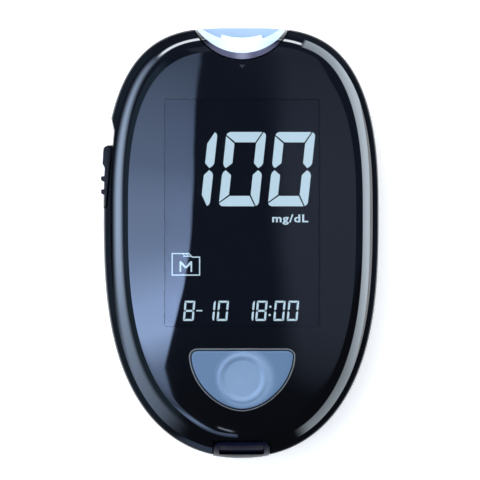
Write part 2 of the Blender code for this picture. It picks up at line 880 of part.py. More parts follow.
def make_trim():
    low = deck_top + seat_gap
    outer = [button_ring(running_gap + trim_width, height=low)]
    outer.append(button_ring(running_gap + trim_width, proud=trim_proud))
    trim = loft("button_trim", outer, **bright_trim)
    inner = button_ring(running_gap, height=low - overrun)
    cut(trim, prism("trim_opening", inner, (0, 0, body_height - low + 2 * overrun)))
    return trim


def make_button_switch(flange_bottom):
    low = board_top + seat_gap
    half = switch_width / 2
    body_low = (-half, ring_centre_y - half, low)
    body_high = (half, ring_centre_y + half, low + switch_body_height)
    switch = box("button_switch", body_low, body_high, **socket_black)
    stem_top = flange_bottom - button_travel - press_gap
    stem_low = (0, ring_centre_y, low + switch_body_height / 2)
    join(switch, rod("switch_stem", switch_stem_radius, stem_low, (0, ring_centre_y, stem_top)))
    return switch


def strip_way(name, start_y, end_y, grow=0):
    """The flat space that the test strip slides through."""
    half = slot_half_width + grow
    return box(name, (-half, start_y, slot_bottom - grow), (half, end_y, slot_top + grow))


def make_port(envelope):
    way = strip_way("guide_strip_way", port_inner_y - overrun, top_end + overrun)
    bezel = port_cylinder("strip_port_bezel", port_radius, port_centre_y, **bezel_lilac)
    cut(bezel, port_cylinder("bezel_opening", guide_radius, guide_centre_y, low=0))
    keep_inside(bezel, envelope)
    cut(bezel, way)
    radius = guide_radius - seat_gap
    guide = port_cylinder("strip_port_guide", radius, guide_centre_y, **port_white)
    keep_inside(guide, envelope)
    jaw_y = top_end - jaw_setback
    ramp_y = guide_inner_y + seat_gap + ramp_start
    ramp_top = face_height(guide_inner_y) - ramp_drop
    outside_y = top_end + overrun
    roof = body_height + overrun
    profile = (
        (ramp_y, roof),
        (ramp_y, ramp_top),
        (jaw_y, slot_top + jaw_lip),
        (jaw_y, slot_bottom),
        (outside_y, slot_bottom),
        (outside_y, roof),
    )
    points = [Vector((-port_radius, y, height)) for y, height in profile]
    mouth = prism("port_mouth", points, (2 * port_radius, 0, 0))
    keep_inside(mouth, port_cylinder("mouth_limit", radius - guide_rim, guide_centre_y, low=0))
    cut(guide, mouth, way)
    return bezel, guide


def make_strip_socket():
    top = lcd_top
    low = (-socket_half_width, socket_back_y, board_top + seat_gap)
    socket = box("strip_connector", low, (socket_half_width, socket_front_y, top), **socket_black)
    cut(socket, strip_way("socket_strip_way", socket_back_y + socket_back_wall, top_end))
    channel_half = link_spine_half_width + seat_gap
    channel_low = (-channel_half, socket_back_y - overrun, board_top)
    channel_high = (channel_half, socket_front_y + overrun, slot_bottom + strip_thickness + seat_gap)
    cut(socket, box("tab_channel", channel_low, channel_high))
    return socket


def make_strip_contacts():
    start_y = socket_back_y + socket_back_wall
    run = socket_front_y - start_y
    high = slot_top - running_gap
    heights = (high, high, high - contact_dip, high)
    top_line = [(start_y + run * share, level) for share, level in zip(contact_shares, heights)]
    profile = top_line + [(y, level - contact_strip) for y, level in reversed(top_line)]
    names = ("strip_contact_left", "strip_contact_middle", "strip_contact_right")
    for side, name in zip((-1, 0, 1), names):
        x = side * contact_pitch - contact_width / 2
        points = [Vector((x, y, level)) for y, level in profile]
        prism(name, points, (contact_width, 0, 0), **gold_plate)


def make_port_lamp():
    half = port_lamp_width / 2
    centre_y = port_centre_y - math.sqrt((port_radius + wall) ** 2 - port_lamp_side**2) - half
    low = (port_lamp_side - half, centre_y - half, board_top + running_gap)
    high = (port_lamp_side + half, centre_y + half, board_top + running_gap + port_lamp_height)
    return box("port_lamp", low, high, **milky_plastic)


def ejector_outline():
    """Plan of the slider, from its top inner corner round the outside."""
    skin = -half_width
    top, bottom = ejector_top_y, ejector_bottom_y
    stem = skin + ejector_stem_inset
    head_out = skin - ejector_head_proud
    head_end = top - ejector_head_length
    points = [
        (skin + ejector_inner_top, top),
        (skin + ejector_corner, top),
        (skin, top - ejector_corner),
        (head_out, head_end),
        (stem, head_end - 2 * ejector_corner),
    ]
    rib_out = skin - ejector_rib_proud
    for start in ejector_rib_starts:
        rib = top - start
        points += [
            (stem, rib),
            (rib_out, rib),
            (rib_out, rib - ejector_rib_length),
            (stem, rib - ejector_rib_length - ejector_corner),
        ]
    points += [(stem, bottom), (skin + ejector_inner_bottom, bottom)]
    return points


def make_ejector():
    points = [Vector((x, y, ejector_bottom_height)) for x, y in ejector_outline()]
    rise = ejector_top_height - ejector_bottom_height
    slider = prism("strip_ejector", points, (0, 0, rise), **dark_plastic)
    foot_end = -half_width + ejector_inner_top + 2 * seat_gap + bed_thickness + seat_gap
    foot_low = (-half_width + ejector_inner_bottom, link_bar_y, link_bottom)
    foot_high = (foot_end, link_bar_y + link_bar_width, link_top)
    join(slider, box("ejector_foot", foot_low, foot_high))
    bar_low = (foot_end + seat_gap, link_bar_y, link_bottom)
    bar_high = (link_spine_half_width, link_bar_y + link_bar_width, link_top)
    link = box("ejector_link", bar_low, bar_high, **milky_plastic)
    spine_low = (-link_spine_half_width, link_bar_y, link_bottom)
    spine_high = (link_spine_half_width, link_tab_y + link_tab_thickness, link_top)
    tab_low = (-link_spine_half_width, link_tab_y, link_bottom)
    tab_high = (link_spine_half_width, link_tab_y + link_tab_thickness, slot_bottom + strip_thickness)
    join(link, box("link_spine", spine_low, spine_high), box("link_tab", tab_low, tab_high))
    for moving in (slider, link):
        set_origin(moving, (-half_width, link_bar_y, (link_top + link_bottom) / 2))
    start_y = link_bar_y + link_bar_width + running_gap + ejector_spring_wire
    end_y = start_y + ejector_spring_length - 2 * ejector_spring_wire
    height = (link_top + link_bottom) / 2
    coil(
        "ejector_spring",
        (-ejector_spring_side, start_y, height),
        (-ejector_spring_side, end_y, height),
        ejector_spring_radius,
        ejector_spring_radius,
        ejector_spring_wire,
        ejector_spring_turns,
        **spring_steel,
    )
    return slider, link


def make_board(port_clearance):
    bottom, top = board_bottom, board_top
    rings = [outline_ring(board_inset, bottom), outline_ring(board_inset, top)]
    board = loft("main_board", rings, **board_green)
    cut(board, port_clearance)
    tab_half = link_spine_half_width + seat_gap
    slot_low = (-tab_half, link_tab_y - seat_gap, bottom - overrun)
    cut(board, box("tab_slot", slot_low, (tab_half, top_end, top + overrun)))
    end_low = (-jack_wall_width / 2 - seat_gap, bottom_end, bottom - overrun)
    end_high = (
        jack_wall_width / 2 + seat_gap,
        jack_wall_y + jack_wall_thickness + seat_gap,
        top + overrun,
    )
    cut(board, box("board_jack_notch", end_low, end_high))
    for number, (x, y) in enumerate(screw_places):
        low, high = (x, y, bottom - overrun), (x, y, top + overrun)
        cut(board, rod(f"board_hole_{number}", screw_radius + seat_gap, low, high))
    return board


def make_display():
    half_x, half_y = lcd_width / 2, lcd_length / 2
    low = (-half_x, view_centre_y - half_y, lcd_bottom)
    box("lcd_panel", low, (half_x, view_centre_y + half_y, lcd_top), **display_dark)
    guide_low = (-half_x, view_centre_y - half_y + lcd_contact_length, light_guide_bottom)
    guide_high = (half_x, view_centre_y + half_y, light_guide_bottom + light_guide_thickness)
    box("light_guide", guide_low, guide_high, **milky_plastic)
    strip_half = lcd_connector_width / 2
    strip_y = view_centre_y - half_y + seat_gap
    strip_low = (-strip_half, strip_y, light_guide_bottom)
    strip_high = (
        strip_half,
        strip_y + lcd_connector_depth,
        light_guide_bottom + light_guide_thickness,
    )
    box("lcd_connector", strip_low, strip_high, **rubber_grey)
    outer_low = (-lcd_frame_half_width, lcd_frame_bottom_y, light_guide_bottom)
    outer_high = (lcd_frame_half_width, lcd_frame_top_y, lcd_top)
    frame = box("lcd_frame", outer_low, outer_high, **socket_black)
    inner_low = (-half_x - seat_gap, view_centre_y - half_y - seat_gap, light_guide_bottom - overrun)
    inner_high = (half_x + seat_gap, view_centre_y + half_y + seat_gap, lcd_top + overrun)
    cut(frame, box("lcd_frame_opening", inner_low, inner_high))
    return frame


def make_cell(name, x, base_y, direction):
    """A cell from its flat end, with its nub pointing along +Y or -Y."""
    end_y = base_y + direction * cell_body_length
    start = (x, base_y, cell_axis_height)
    end = (x, end_y, cell_axis_height)
    cell = rod(name, cell_radius, start, end, segments=cell_segments, **cell_jacket)
    nub_start = (x, end_y - direction * cell_nub_length, cell_axis_height)
    nub_end = (x, end_y + direction * cell_nub_length, cell_axis_height)
    join(cell, rod(name + "_nub", cell_nub_radius, nub_start, nub_end))
    return cell


def contact_plate(name, low_x, high_x, y, direction):
    """A sheet contact that stands by a wall of the bay and faces along +Y or -Y."""
    near = y + direction * running_gap
    far = near + direction * contact_sheet
    low_z = cell_axis_height - contact_sheet_height / 2
    low = (low_x, min(near, far), low_z)
    box(name, low, (high_x, max(near, far), low_z + contact_sheet_height), **steel)
    return far


def make_battery():
    x = cell_spacing / 2
    half = contact_sheet_width / 2
    near_face = contact_plate("contact_bridge", -x - half, x + half, bay_bottom_y, 1)
    far_face = contact_plate("contact_plate_positive", -x - half, -x + half, bay_top_y, -1)
    contact_plate("contact_plate_negative", x - half, x + half, bay_top_y, -1)
    nub_a_end = far_face - seat_gap
    base_a = nub_a_end - cell_nub_length - cell_body_length
    make_cell("battery_cell_a", -x, base_a, 1)
    nub_b_end = near_face + seat_gap
    base_b = nub_b_end + cell_nub_length + cell_body_length
    make_cell("battery_cell_b", x, base_b, -1)
    step = contact_coil_wire + running_gap / 2
    for name, side, face, base, direction in (
        ("contact_spring_a", -x, near_face, base_a, 1),
        ("contact_spring_b", x, far_face, base_b, -1),
    ):
        coil(
            name,
            (side, face + direction * step, cell_axis_height),
            (side, base - direction * step, cell_axis_height),
            contact_coil_radius,
            contact_coil_tip_radius,
            contact_coil_wire,
            contact_coil_turns,
            **spring_steel,
        )


def make_battery_door():
    rings = rings_of(back_profile(0) + [(0, parting_height)])
    door = loft("battery_door", rings, **black_shell)
    keep_inside(door, door_track("door_limit", 0, door_end_y))
    inside = rings_of(back_profile(wall) + [(wall, parting_height)])
    cut(door, loft("door_inside", inside))
    for number in range(grip_count):
        y = door_end_y - grip_from_end - number * grip_pitch
        low = (-grip_length / 2, y - grip_width / 2, -overrun)
        cut(door, box(f"grip_groove_{number}", low, (grip_length / 2, y + grip_width / 2, grip_depth)))
    set_origin(door, (0, door_end_y, 0))
    return door


def make_cover():
    """The flap over the data port: a curved skin on a hinge barrel."""
    cover = body_envelope("data_port_cover", -cover_proud, **dark_plastic)
    half = cover_width / 2
    reach_y = bottom_end - overrun
    plan = [
        (-half, reach_y),
        (half, reach_y),
        (half, cover_top_y - cover_corner),
        (half - cover_corner, cover_top_y),
        (-half + cover_corner, cover_top_y),
        (-half, cover_top_y - cover_corner),
    ]
    points = [Vector((x, y, cover_bottom)) for x, y in plan]
    keep_inside(cover, prism("cover_plan", points, (0, 0, body_height)))
    cut(cover, body_envelope("cover_inside", cover_skin))
    far_y = cover_top_y - recess_margin
    near_y = far_y - recess_length
    low = (-recess_width / 2, near_y, cover_bottom)
    recess = box("cover_recess", low, (recess_width / 2, far_y, body_height + overrun))
    cut(recess, body_envelope("recess_floor", recess_depth))
    cut(cover, recess)
    barrel_half = knuckle_length / 2
    web_half = barrel_half - web_thickness / 4
    web_low = (-web_half, hinge_y - web_thickness, hinge_height + hinge_pin_radius / 2)
    web_high = (web_half, hinge_y + web_thickness / 4, cover_bottom + web_thickness)
    join(cover, box("cover_web", web_low, web_high))
    ends = ((-barrel_half, hinge_y, hinge_height), (barrel_half, hinge_y, hinge_height))
    join(cover, rod("cover_knuckle", knuckle_radius, *ends, segments=hinge_segments))
    wide = knuckle_length
    bore_ends = ((-wide, hinge_y, hinge_height), (wide, hinge_y, hinge_height))
    cut(cover, rod("cover_bore", hinge_pin_radius + pin_gap, *bore_ends, segments=hinge_segments))
    set_origin(cover, (0, hinge_y, hinge_height))
    pin_half = hinge_pin_length / 2
    pin_ends = ((-pin_half, hinge_y, hinge_height), (pin_half, hinge_y, hinge_height))
    rod("cover_hinge_pin", hinge_pin_radius, *pin_ends, segments=hinge_segments, **steel)
    return cover


def make_data_jack():
    start_y = jack_wall_y + running_gap
    bottom = board_top + seat_gap
    low = (-jack_width / 2, start_y, bottom)
    high = (jack_width / 2, jack_end_y, bottom + jack_height)
    jack = box("data_jack", low, high, **steel)
    inner_low = (low[0] + jack_shell, start_y - overrun, bottom + jack_shell)
    inner_high = (high[0] - jack_shell, high[1] - 2 * jack_shell, high[2] - jack_shell)
    cut(jack, box("jack_cavity", inner_low, inner_high))
    middle = bottom + jack_height / 2
    tongue_low = (-jack_tongue_width / 2, start_y + 2 * jack_shell, middle - jack_tongue_height / 2)
    tongue_high = (jack_tongue_width / 2, high[1] - jack_shell, middle + jack_tongue_height / 2)
    join(jack, box("jack_tongue", tongue_low, tongue_high))
    return jack


def make_screws():
    top = deck_bottom - screw_tip_gap
    for letter, (x, y) in zip("abcd", screw_places):
        name = "case_screw_" + letter
        head_low = screw_seat_height - screw_head_height
        profile = [
            (0, head_low),
            (screw_head_radius, head_low),
            (screw_head_radius, screw_seat_height),
            (screw_radius, screw_seat_height),
            (screw_radius, top - screw_radius),
            (0, top),
        ]
        screw = turned(name, profile, **steel)
        slot_half = screw_slot_width / 2
        cross = (
            (-screw_head_radius, -slot_half, head_low - overrun),
            (screw_head_radius, slot_half, head_low + screw_slot_depth),
        )
        slot = box(name + "_slot", *cross)
        cut(screw, slot)
        screw.location = (x, y, 0)
        slot.location = (x, y, 0)


def make_board_parts():
    near_x = link_spine_half_width + chip_clear
    near_y = link_bar_y + chip_ahead
    top = board_bottom - running_gap
    chip_low = (near_x, near_y, top - chip_height)
    chip_high = (near_x + chip_width, near_y + chip_width, top)
    box("controller_chip", chip_low, chip_high, **socket_black)
    centre = (near_x + chip_width + seat_gap + buzzer_radius, near_y + chip_width / 2)
    rod("buzzer", buzzer_radius, (*centre, top - buzzer_height), (*centre, top), **steel)


def make_meter():
    envelope = body_envelope("body_envelope", 0)
    notch, slot = ejector_notch(), link_slot()
    port_hole = port_cylinder("port_hole", port_radius + seat_gap, port_centre_y, low=0)
    pocket_half = cover_width / 2 + seat_gap
    pocket_low = (-pocket_half, bottom_end - overrun, parting_height - overrun)
    pocket_high = (pocket_half, cover_top_y + seat_gap, body_height + overrun)
    cover_pocket = box("cover_pocket", pocket_low, pocket_high)
    make_rear_housing(notch, slot)
    make_front_housing(notch, port_hole, cover_pocket)
    make_face_lens(port_hole, cover_pocket)
    button, flange_bottom = make_button()
    make_trim()
    make_button_switch(flange_bottom)
    make_port(envelope)
    make_strip_socket()
    make_strip_contacts()
    make_port_lamp()
    make_ejector()
    make_board(port_hole)
    make_display()
    make_battery()
    make_battery_door()
    make_cover()
    make_data_jack()
    make_screws()
    make_board_parts()


make_meter()
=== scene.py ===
"""Looks of the blood glucose meter: fine shells, lit display, strip port, button and finishes."""

import math

import bmesh
import bpy
from mathutils import Matrix, Vector
from mathutils.bvhtree import BVHTree
from mathutils.interpolate import poly_3d_calc


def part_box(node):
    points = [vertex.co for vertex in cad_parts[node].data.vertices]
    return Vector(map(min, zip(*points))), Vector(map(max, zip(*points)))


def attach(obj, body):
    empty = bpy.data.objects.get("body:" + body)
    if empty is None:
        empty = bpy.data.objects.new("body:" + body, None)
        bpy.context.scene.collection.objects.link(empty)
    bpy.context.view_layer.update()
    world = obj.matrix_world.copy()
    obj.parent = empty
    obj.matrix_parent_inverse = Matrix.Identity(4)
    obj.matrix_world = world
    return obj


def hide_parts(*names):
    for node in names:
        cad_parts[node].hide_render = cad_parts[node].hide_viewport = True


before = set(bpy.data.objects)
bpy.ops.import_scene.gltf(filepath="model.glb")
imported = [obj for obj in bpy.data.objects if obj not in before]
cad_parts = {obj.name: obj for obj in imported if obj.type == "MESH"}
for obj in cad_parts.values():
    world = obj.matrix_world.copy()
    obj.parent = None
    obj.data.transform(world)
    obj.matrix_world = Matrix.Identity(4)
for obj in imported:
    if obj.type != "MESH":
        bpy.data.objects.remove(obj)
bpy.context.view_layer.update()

mm = 0.001

# Plan outline, the same superellipse halves as the moulded body
half_width = 29.39 * mm
upper_reach = 38.9 * mm
lower_reach = 52.9 * mm
upper_powers = (3.4, 2.52)
lower_powers = (2.2, 2.87)
widest_y = (lower_reach - upper_reach) / 2
top_end = widest_y + upper_reach
bottom_end = widest_y - lower_reach

# Clearances and heights of the stack
seat_gap = 0.3 * mm
running_gap = 0.2 * mm
pin_gap = 0.1 * mm
overrun = 3 * mm
wall = 1.6 * mm
board_bottom = 12.7 * mm
board_top = 13.7 * mm
lcd_top = 16.8 * mm
deck_bottom = 17.1 * mm
deck_top = 18.3 * mm
lens_thickness = 1.6 * mm
face_edge_height = 20.2 * mm
face_rise = 1.8 * mm
body_height = 22 * mm

# Body profile
back_round_width = 6.5 * mm
back_round_height = 9.5 * mm
parting_height = 11.5 * mm
rim_turn_height = 13 * mm
rim_top_height = 16.9 * mm
rim_width = 1.45 * mm
shoulder_height = 15.4 * mm
shoulder_width = 0.5 * mm
shoulder_rise = 1.2 * mm
lens_lip_height = 17.2 * mm
edge_roll_width = 3.7 * mm
face_inset = rim_width + edge_roll_width
hair = 0.02 * mm
edge_round = 0.15 * mm
shell_foot = 11.8 * mm
fine_steps = 200

# Depth of the moulded skin's grain, and the lift of the white paper for the camera and the gloss
skin_depth = 0.05 * mm
paper_lift = 0.6


def linear(text):
    """Linear colour of an sRGB hex value."""
    parts = []
    for start in (1, 3, 5):
        value = int(text[start:start + 2], 16) / 255
        parts.append(value / 12.92 if value <= 0.04045 else ((value + 0.055) / 1.055) ** 2.4)
    return (*parts, 1.0)


# Outlines and rings, the same curves as the moulded body

def outline_shares(count):
    """Unit places round the plan outline, evenly spaced along it."""

    def place(angle):
        side_power, end_power = upper_powers if angle >= 0 else lower_powers
        side = abs(math.cos(angle)) ** (2 / side_power)
        end = abs(math.sin(angle)) ** (2 / end_power)
        return side, end if angle >= 0 else -end

    def spot(angle):
        side, end = place(angle)
        return Vector((side * half_width, end * (upper_reach if end > 0 else lower_reach)))

    fine = 6000
    angles = [math.pi * (step / fine - 0.5) for step in range(fine + 1)]
    spots = [spot(angle) for angle in angles]
    lengths = [0]
    for before, after in zip(spots, spots[1:]):
        lengths.append(lengths[-1] + (after - before).length)
    half = count // 2
    right, at = [], 0
    for step in range(half + 1):
        wanted = lengths[-1] * step / half
        while at < fine and lengths[at] < wanted:
            at += 1
        right.append(place(angles[at]))
    return right + [(-side, end) for side, end in reversed(right[1:-1])]


fine_shares = outline_shares(240)
plain_shares = outline_shares(96)


def outline_ring(inset, height, shares=None):
    ring = []
    for side, end in shares or fine_shares:
        reach = upper_reach if end > 0 else lower_reach
        ring.append(Vector((side * (half_width - inset), widest_y + end * (reach - inset), height)))
    return ring


def dome_ring(share, drop=0.0, shares=None):
    height = face_edge_height - drop + face_rise * (1 - share**2)
    ring = []
    for point in outline_ring(face_inset, height, shares):
        ring.append(Vector((point.x * share, widest_y + (point.y - widest_y) * share, height)))
    return ring


def dome_share(x, y):
    """Share of the dome's rings that passes through a place."""
    upper = y >= widest_y
    side_power, end_power = upper_powers if upper else lower_powers
    side = abs(x) / (half_width - face_inset)
    end = abs(y - widest_y) / ((upper_reach if upper else lower_reach) - face_inset)
    low, high = 0.0, 2.0
    for _ in range(30):
        share = (low + high) / 2
        if (side / share) ** side_power + (end / share) ** end_power > 1:
            low = share
        else:
            high = share
    return high


def face_height(x, y):
    return face_edge_height + face_rise * (1 - dome_share(x, y) ** 2)


def corner(inset, height, width, rise, steps=10):
    """(inset, height) points of a rounded edge, upright at its start and level at its end."""
    points = []
    for step in range(steps + 1):
        angle = math.pi / 2 * step / steps
        points.append((inset + width * (1 - math.cos(angle)), height + rise * math.sin(angle)))
    return points


def rings_of(profile, shares=None):
    return [outline_ring(inset, height, shares) for inset, height in profile]


def back_profile(depth, steps=14):
    points = corner(depth, back_round_height, back_round_width - depth, depth - back_round_height, steps)
    return points[::-1]


# Shapes and the steps that cut and join them

def loft(rings, wrap=False, capped=True):
    """Skin over a stack of rings with as many points each, run round on itself, capped or left open."""
    bm = bmesh.new()
    verts = [bm.verts.new(point) for point in rings[0]]
    first = [bm.edges.new((verts[n - 1], verts[n])) for n in range(len(verts))]
    loop = first
    for ring in rings[1:]:
        places = dict(zip(verts, ring))
        swept = bmesh.ops.extrude_edge_only(bm, edges=loop)["geom"]
        loop = [item for item in swept if isinstance(item, bmesh.types.BMEdge)]
        raised = {}
        for item in swept:
            if isinstance(item, bmesh.types.BMVert):
                below = next(e.other_vert(item) for e in item.link_edges if e.other_vert(item) in places)
                item.co = places[below]
                raised[below] = item
        verts = [raised[vert] for vert in verts]
        loop = [bm.edges.get((verts[n - 1], verts[n])) for n in range(len(verts))]
    if wrap:
        bmesh.ops.bridge_loops(bm, edges=loop + first)
    elif capped:
        for end in (first, loop):
            bmesh.ops.contextual_create(bm, geom=end)
    return bm


def solid(bm, name="solid"):
    """An object of a finished mesh, with its faces outwards."""
    bmesh.ops.recalc_face_normals(bm, faces=bm.faces)
    mesh = bpy.data.meshes.new(name)
    bm.to_mesh(mesh)
    bm.free()
    return bpy.data.objects.new(name, mesh)


def soften(bm, width, segments=2, angle=30):
    """Round the edges that are sharper than an angle."""
    edges = [e for e in bm.edges if len(e.link_faces) == 2 and e.calc_face_angle(0) > math.radians(angle)]
    bmesh.ops.bevel(
        bm,
        geom=edges,
        offset=width,
        offset_type="OFFSET",
        segments=segments,
        profile=0.5,
        affect="EDGES",
        clamp_overlap=True,
        material=-1,
    )
    return bm


def block(low, high, rounding=0.0, segments=2):
    low, high = Vector(low), Vector(high)
    bm = bmesh.new()
    bmesh.ops.create_cube(bm, size=1.0)
    bmesh.ops.scale(bm, vec=high - low, verts=bm.verts)
    bmesh.ops.translate(bm, vec=(low + high) / 2, verts=bm.verts)
    if rounding:
        soften(bm, rounding, segments)
    return bm


def bar(radius, start, end, segments=32):
    start, end = Vector(start), Vector(end)
    bm = bmesh.new()
    bmesh.ops.create_cone(
        bm,
        cap_ends=True,
        segments=segments,
        radius1=radius,
        radius2=radius,
        depth=(end - start).length,
    )
    turn = Vector((0, 0, 1)).rotation_difference(end - start).to_matrix()
    bmesh.ops.rotate(bm, cent=(0, 0, 0), matrix=turn, verts=bm.verts)
    bmesh.ops.translate(bm, vec=(start + end) / 2, verts=bm.verts)
    return bm


def prism(points, along, bm=None):
    """A flat outline swept along a line, as a mesh of its own or in a given one."""
    if bm is None:
        bm = bmesh.new()
    face = bm.faces.new([bm.verts.new(point) for point in points])
    swept = bmesh.ops.extrude_face_region(bm, geom=[face])["geom"]
    raised = [item for item in swept if isinstance(item, bmesh.types.BMVert)]
    bmesh.ops.translate(bm, vec=along, verts=raised)
    return bm


def slab(plan, low, high, bm=None):
    """An upright prism over a plan, between two heights."""
    return prism([Vector((x, y, low)) for x, y in plan], (0, 0, high - low), bm)


def in_mm(points):
    return [(first * mm, second * mm) for first, second in points]


def turned(profile, segments=48):
    """A solid of revolution about Z, from (radius, height) points that start and end at radius 0."""
    bm = bmesh.new()
    verts = [bm.verts.new((radius, 0, height)) for radius, height in profile]
    edges = [bm.edges.new(pair) for pair in zip(verts, verts[1:])]
    bmesh.ops.spin(
        bm,
        geom=verts + edges,
        cent=(0, 0, 0),
        axis=(0, 0, 1),
        angle=math.tau,
        steps=segments,
        use_merge=True,
    )
    bmesh.ops.remove_doubles(bm, verts=bm.verts, dist=0.001 * mm)
    return bm


def combine(target, operation, *tools):
    """One exact Boolean step with any number of tools, applied to the target's mesh."""
    group = bpy.data.collections.new("tools")
    bpy.context.scene.collection.children.link(group)
    tools = [tool if isinstance(tool, bpy.types.Object) else solid(tool) for tool in tools]
    for tool in tools:
        group.objects.link(tool)
    bpy.context.scene.collection.objects.link(target)
    step = target.modifiers.new("step", "BOOLEAN")
    step.operation = operation
    step.solver = "EXACT"
    step.operand_type = "COLLECTION"
    step.collection = group
    bpy.context.view_layer.update()
    graph = bpy.context.evaluated_depsgraph_get()
    made = bpy.data.meshes.new_from_object(target.evaluated_get(graph))
    target.modifiers.clear()
    old = target.data
    target.data = made
    bpy.data.meshes.remove(old)
    bpy.context.scene.collection.objects.unlink(target)
    for tool in tools:
        bpy.data.objects.remove(tool, do_unlink=True)
    bpy.data.collections.remove(group)
    return target


def cut(target, *tools):
    return combine(target, "DIFFERENCE", *tools)


def join(target, *tools):
    return combine(target, "UNION", *tools)


def keep_inside(target, tool):
    return combine(target, "INTERSECT", tool)


def copy_of(shape):
    return bpy.data.objects.new(shape.name, shape.data.copy())


def lend_normals(made, skin, reach=0.004 * mm):
    """Corners that lie on a smooth skin are shaded as that skin is, whatever was cut into it."""
    source = skin.data
    tree = BVHTree.FromPolygons(
        [vertex.co for vertex in source.vertices],
        [face.vertices[:] for face in source.polygons],
    )
    smooth = [Vector(normal.vector) for normal in source.vertex_normals]
    mesh = made.data
    normals = [Vector(normal.vector) for normal in mesh.corner_normals]
    for face in mesh.polygons:
        for at in face.loop_indices:
            spot = mesh.vertices[mesh.loops[at].vertex_index].co
            hit, out, index, distance = tree.find_nearest(spot)
            if distance > reach or face.normal.dot(out) < 0.9:
                continue
            around = source.polygons[index].vertices
            weights = poly_3d_calc([source.vertices[v].co for v in around], hit)
            lent = sum((smooth[v] * weight for v, weight in zip(around, weights)), Vector())
            normals[at] = lent.normalized()
    mesh.normals_split_custom_set(normals)


def show(made, name, material, body, slot, *replaced, skin=None, angle=32):
    """A finished shape becomes a visible piece that rides on a body."""
    made.name = name
    made.data.name = name
    bpy.context.scene.collection.objects.link(made)
    made.data.materials.clear()
    made.data.materials.append(material)
    made.data.shade_smooth()
    made.data.set_sharp_from_angle(angle=math.radians(angle))
    if skin is not None:
        lend_normals(made, skin)
    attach(made, body)
    if replaced:
        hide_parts(*replaced)
    return made


# Finishes

def node(tree, kind, sockets=None, **settings):
    """Add a node, with its settings, its constant values and its links."""
    made = tree.nodes.new(kind)
    for key, value in settings.items():
        setattr(made, key, value)
    for key, value in (sockets or {}).items():
        if isinstance(value, bpy.types.NodeSocket):
            tree.links.new(value, made.inputs[key])
        else:
            made.inputs[key].default_value = value
    return made


def surface(
    name, colour, second=None, grain=1.0, spread=0.3, rough=(0.3, 0.4), bump=0.0, bump_grain=0.3, **sockets
):
    """A finish with slow colour change, uneven gloss and a fine skin. Grains are in millimetres."""
    material = bpy.data.materials.new(name)
    material.use_nodes = True
    tree = material.node_tree
    shader = tree.nodes["Principled BSDF"]
    where = node(tree, "ShaderNodeTexCoord").outputs["Object"]
    cloud = node(tree, "ShaderNodeTexNoise", {"Vector": where, "Scale": 1 / (grain * mm), "Detail": 4.0})
    ramp = node(tree, "ShaderNodeValToRGB", {"Fac": cloud.outputs["Fac"]})
    ramp.color_ramp.elements[0].position = 0.5 - spread
    ramp.color_ramp.elements[0].color = linear(colour)
    ramp.color_ramp.elements[1].position = 0.5 + spread
    ramp.color_ramp.elements[1].color = linear(second or colour)
    tree.links.new(ramp.outputs["Color"], shader.inputs["Base Color"])
    gloss = node(tree, "ShaderNodeMapRange", {
        "Value": cloud.outputs["Fac"], "From Min": 0.3, "From Max": 0.7,
        "To Min": rough[0], "To Max": rough[1],
    })
    tree.links.new(gloss.outputs["Result"], shader.inputs["Roughness"])
    if bump:
        grit = node(tree, "ShaderNodeTexNoise", {
            "Vector": where, "Scale": 1 / (bump_grain * mm), "Detail": 2.0,
        })
        relief = node(tree, "ShaderNodeBump", {
            "Height": grit.outputs["Fac"], "Strength": bump, "Distance": skin_depth,
        })
        tree.links.new(relief.outputs["Normal"], shader.inputs["Normal"])
    for key, value in sockets.items():
        shader.inputs[key.replace("_", " ")].default_value = value
    return material


# Black ABS, high-gloss moulded: deep black with crisp reflections and a trace of unevenness
gloss_abs = surface(
    "high_gloss_black_abs", "#0B0C10", "#0F1015", grain=6, rough=(0.10, 0.14), bump=0.02, bump_grain=1.2,
    IOR=1.52, Coat_Weight=0.3, Coat_Roughness=0.04,
)
# Black ABS from a spark-eroded mould: a fine grit that breaks the light on the back
textured_abs = surface(
    "spark_eroded_black_abs", "#101114", "#16171B", grain=5, rough=(0.34, 0.44), bump=0.35, bump_grain=0.35,
    IOR=1.52, Specular_IOR_Level=0.35,
)
# Acrylic, printed black behind: a hard polished front with a black depth
printed_acrylic = surface(
    "back_printed_polished_acrylic", "#05060A", "#07080C", grain=8, rough=(0.03, 0.045),
    IOR=1.5, Coat_Weight=1.0, Coat_Roughness=0.02, Coat_IOR=1.7,
)
# Clear acrylic over the display, with the faint violet cast of its hard coat
clear_acrylic = surface(
    "clear_polished_acrylic", "#F2F0F8", "#F5F3FA", grain=8, rough=(0.0, 0.01),
    IOR=1.62, Transmission_Weight=1.0,
)
# Black ink on the window's sawn edges, which stops light from running round inside the acrylic
edge_ink = surface(
    "black_edge_ink", "#06070A", "#08090D", grain=3, rough=(0.5, 0.6), IOR=1.45, Specular_IOR_Level=0.2,
)
# Fine satin ABS of the slider and the flap: blue-black with a soft edge sheen
satin_abs = surface(
    "fine_satin_blue_black_abs", "#15171D", "#1C1E26", grain=2, rough=(0.30, 0.38), bump=0.12,
    bump_grain=0.25, IOR=1.52, Specular_IOR_Level=0.35,
)
# The same satin ABS in navy, on the flap over the data socket
navy_abs = surface(
    "fine_satin_navy_abs", "#0E1124", "#13162C", grain=2, rough=(0.26, 0.34), bump=0.1,
    bump_grain=0.25, IOR=1.52, Specular_IOR_Level=0.08,
)
# Silicone-coated key, satin: periwinkle, with slow cloudiness and a soft bloom at its edges
key_satin = surface(
    "soft_satin_periwinkle_key", "#86A0C0", "#90ABC8", grain=9, rough=(0.42, 0.5), bump=0.05,
    bump_grain=0.3, IOR=1.45, Sheen_Weight=0.1, Sheen_Roughness=0.4,
)
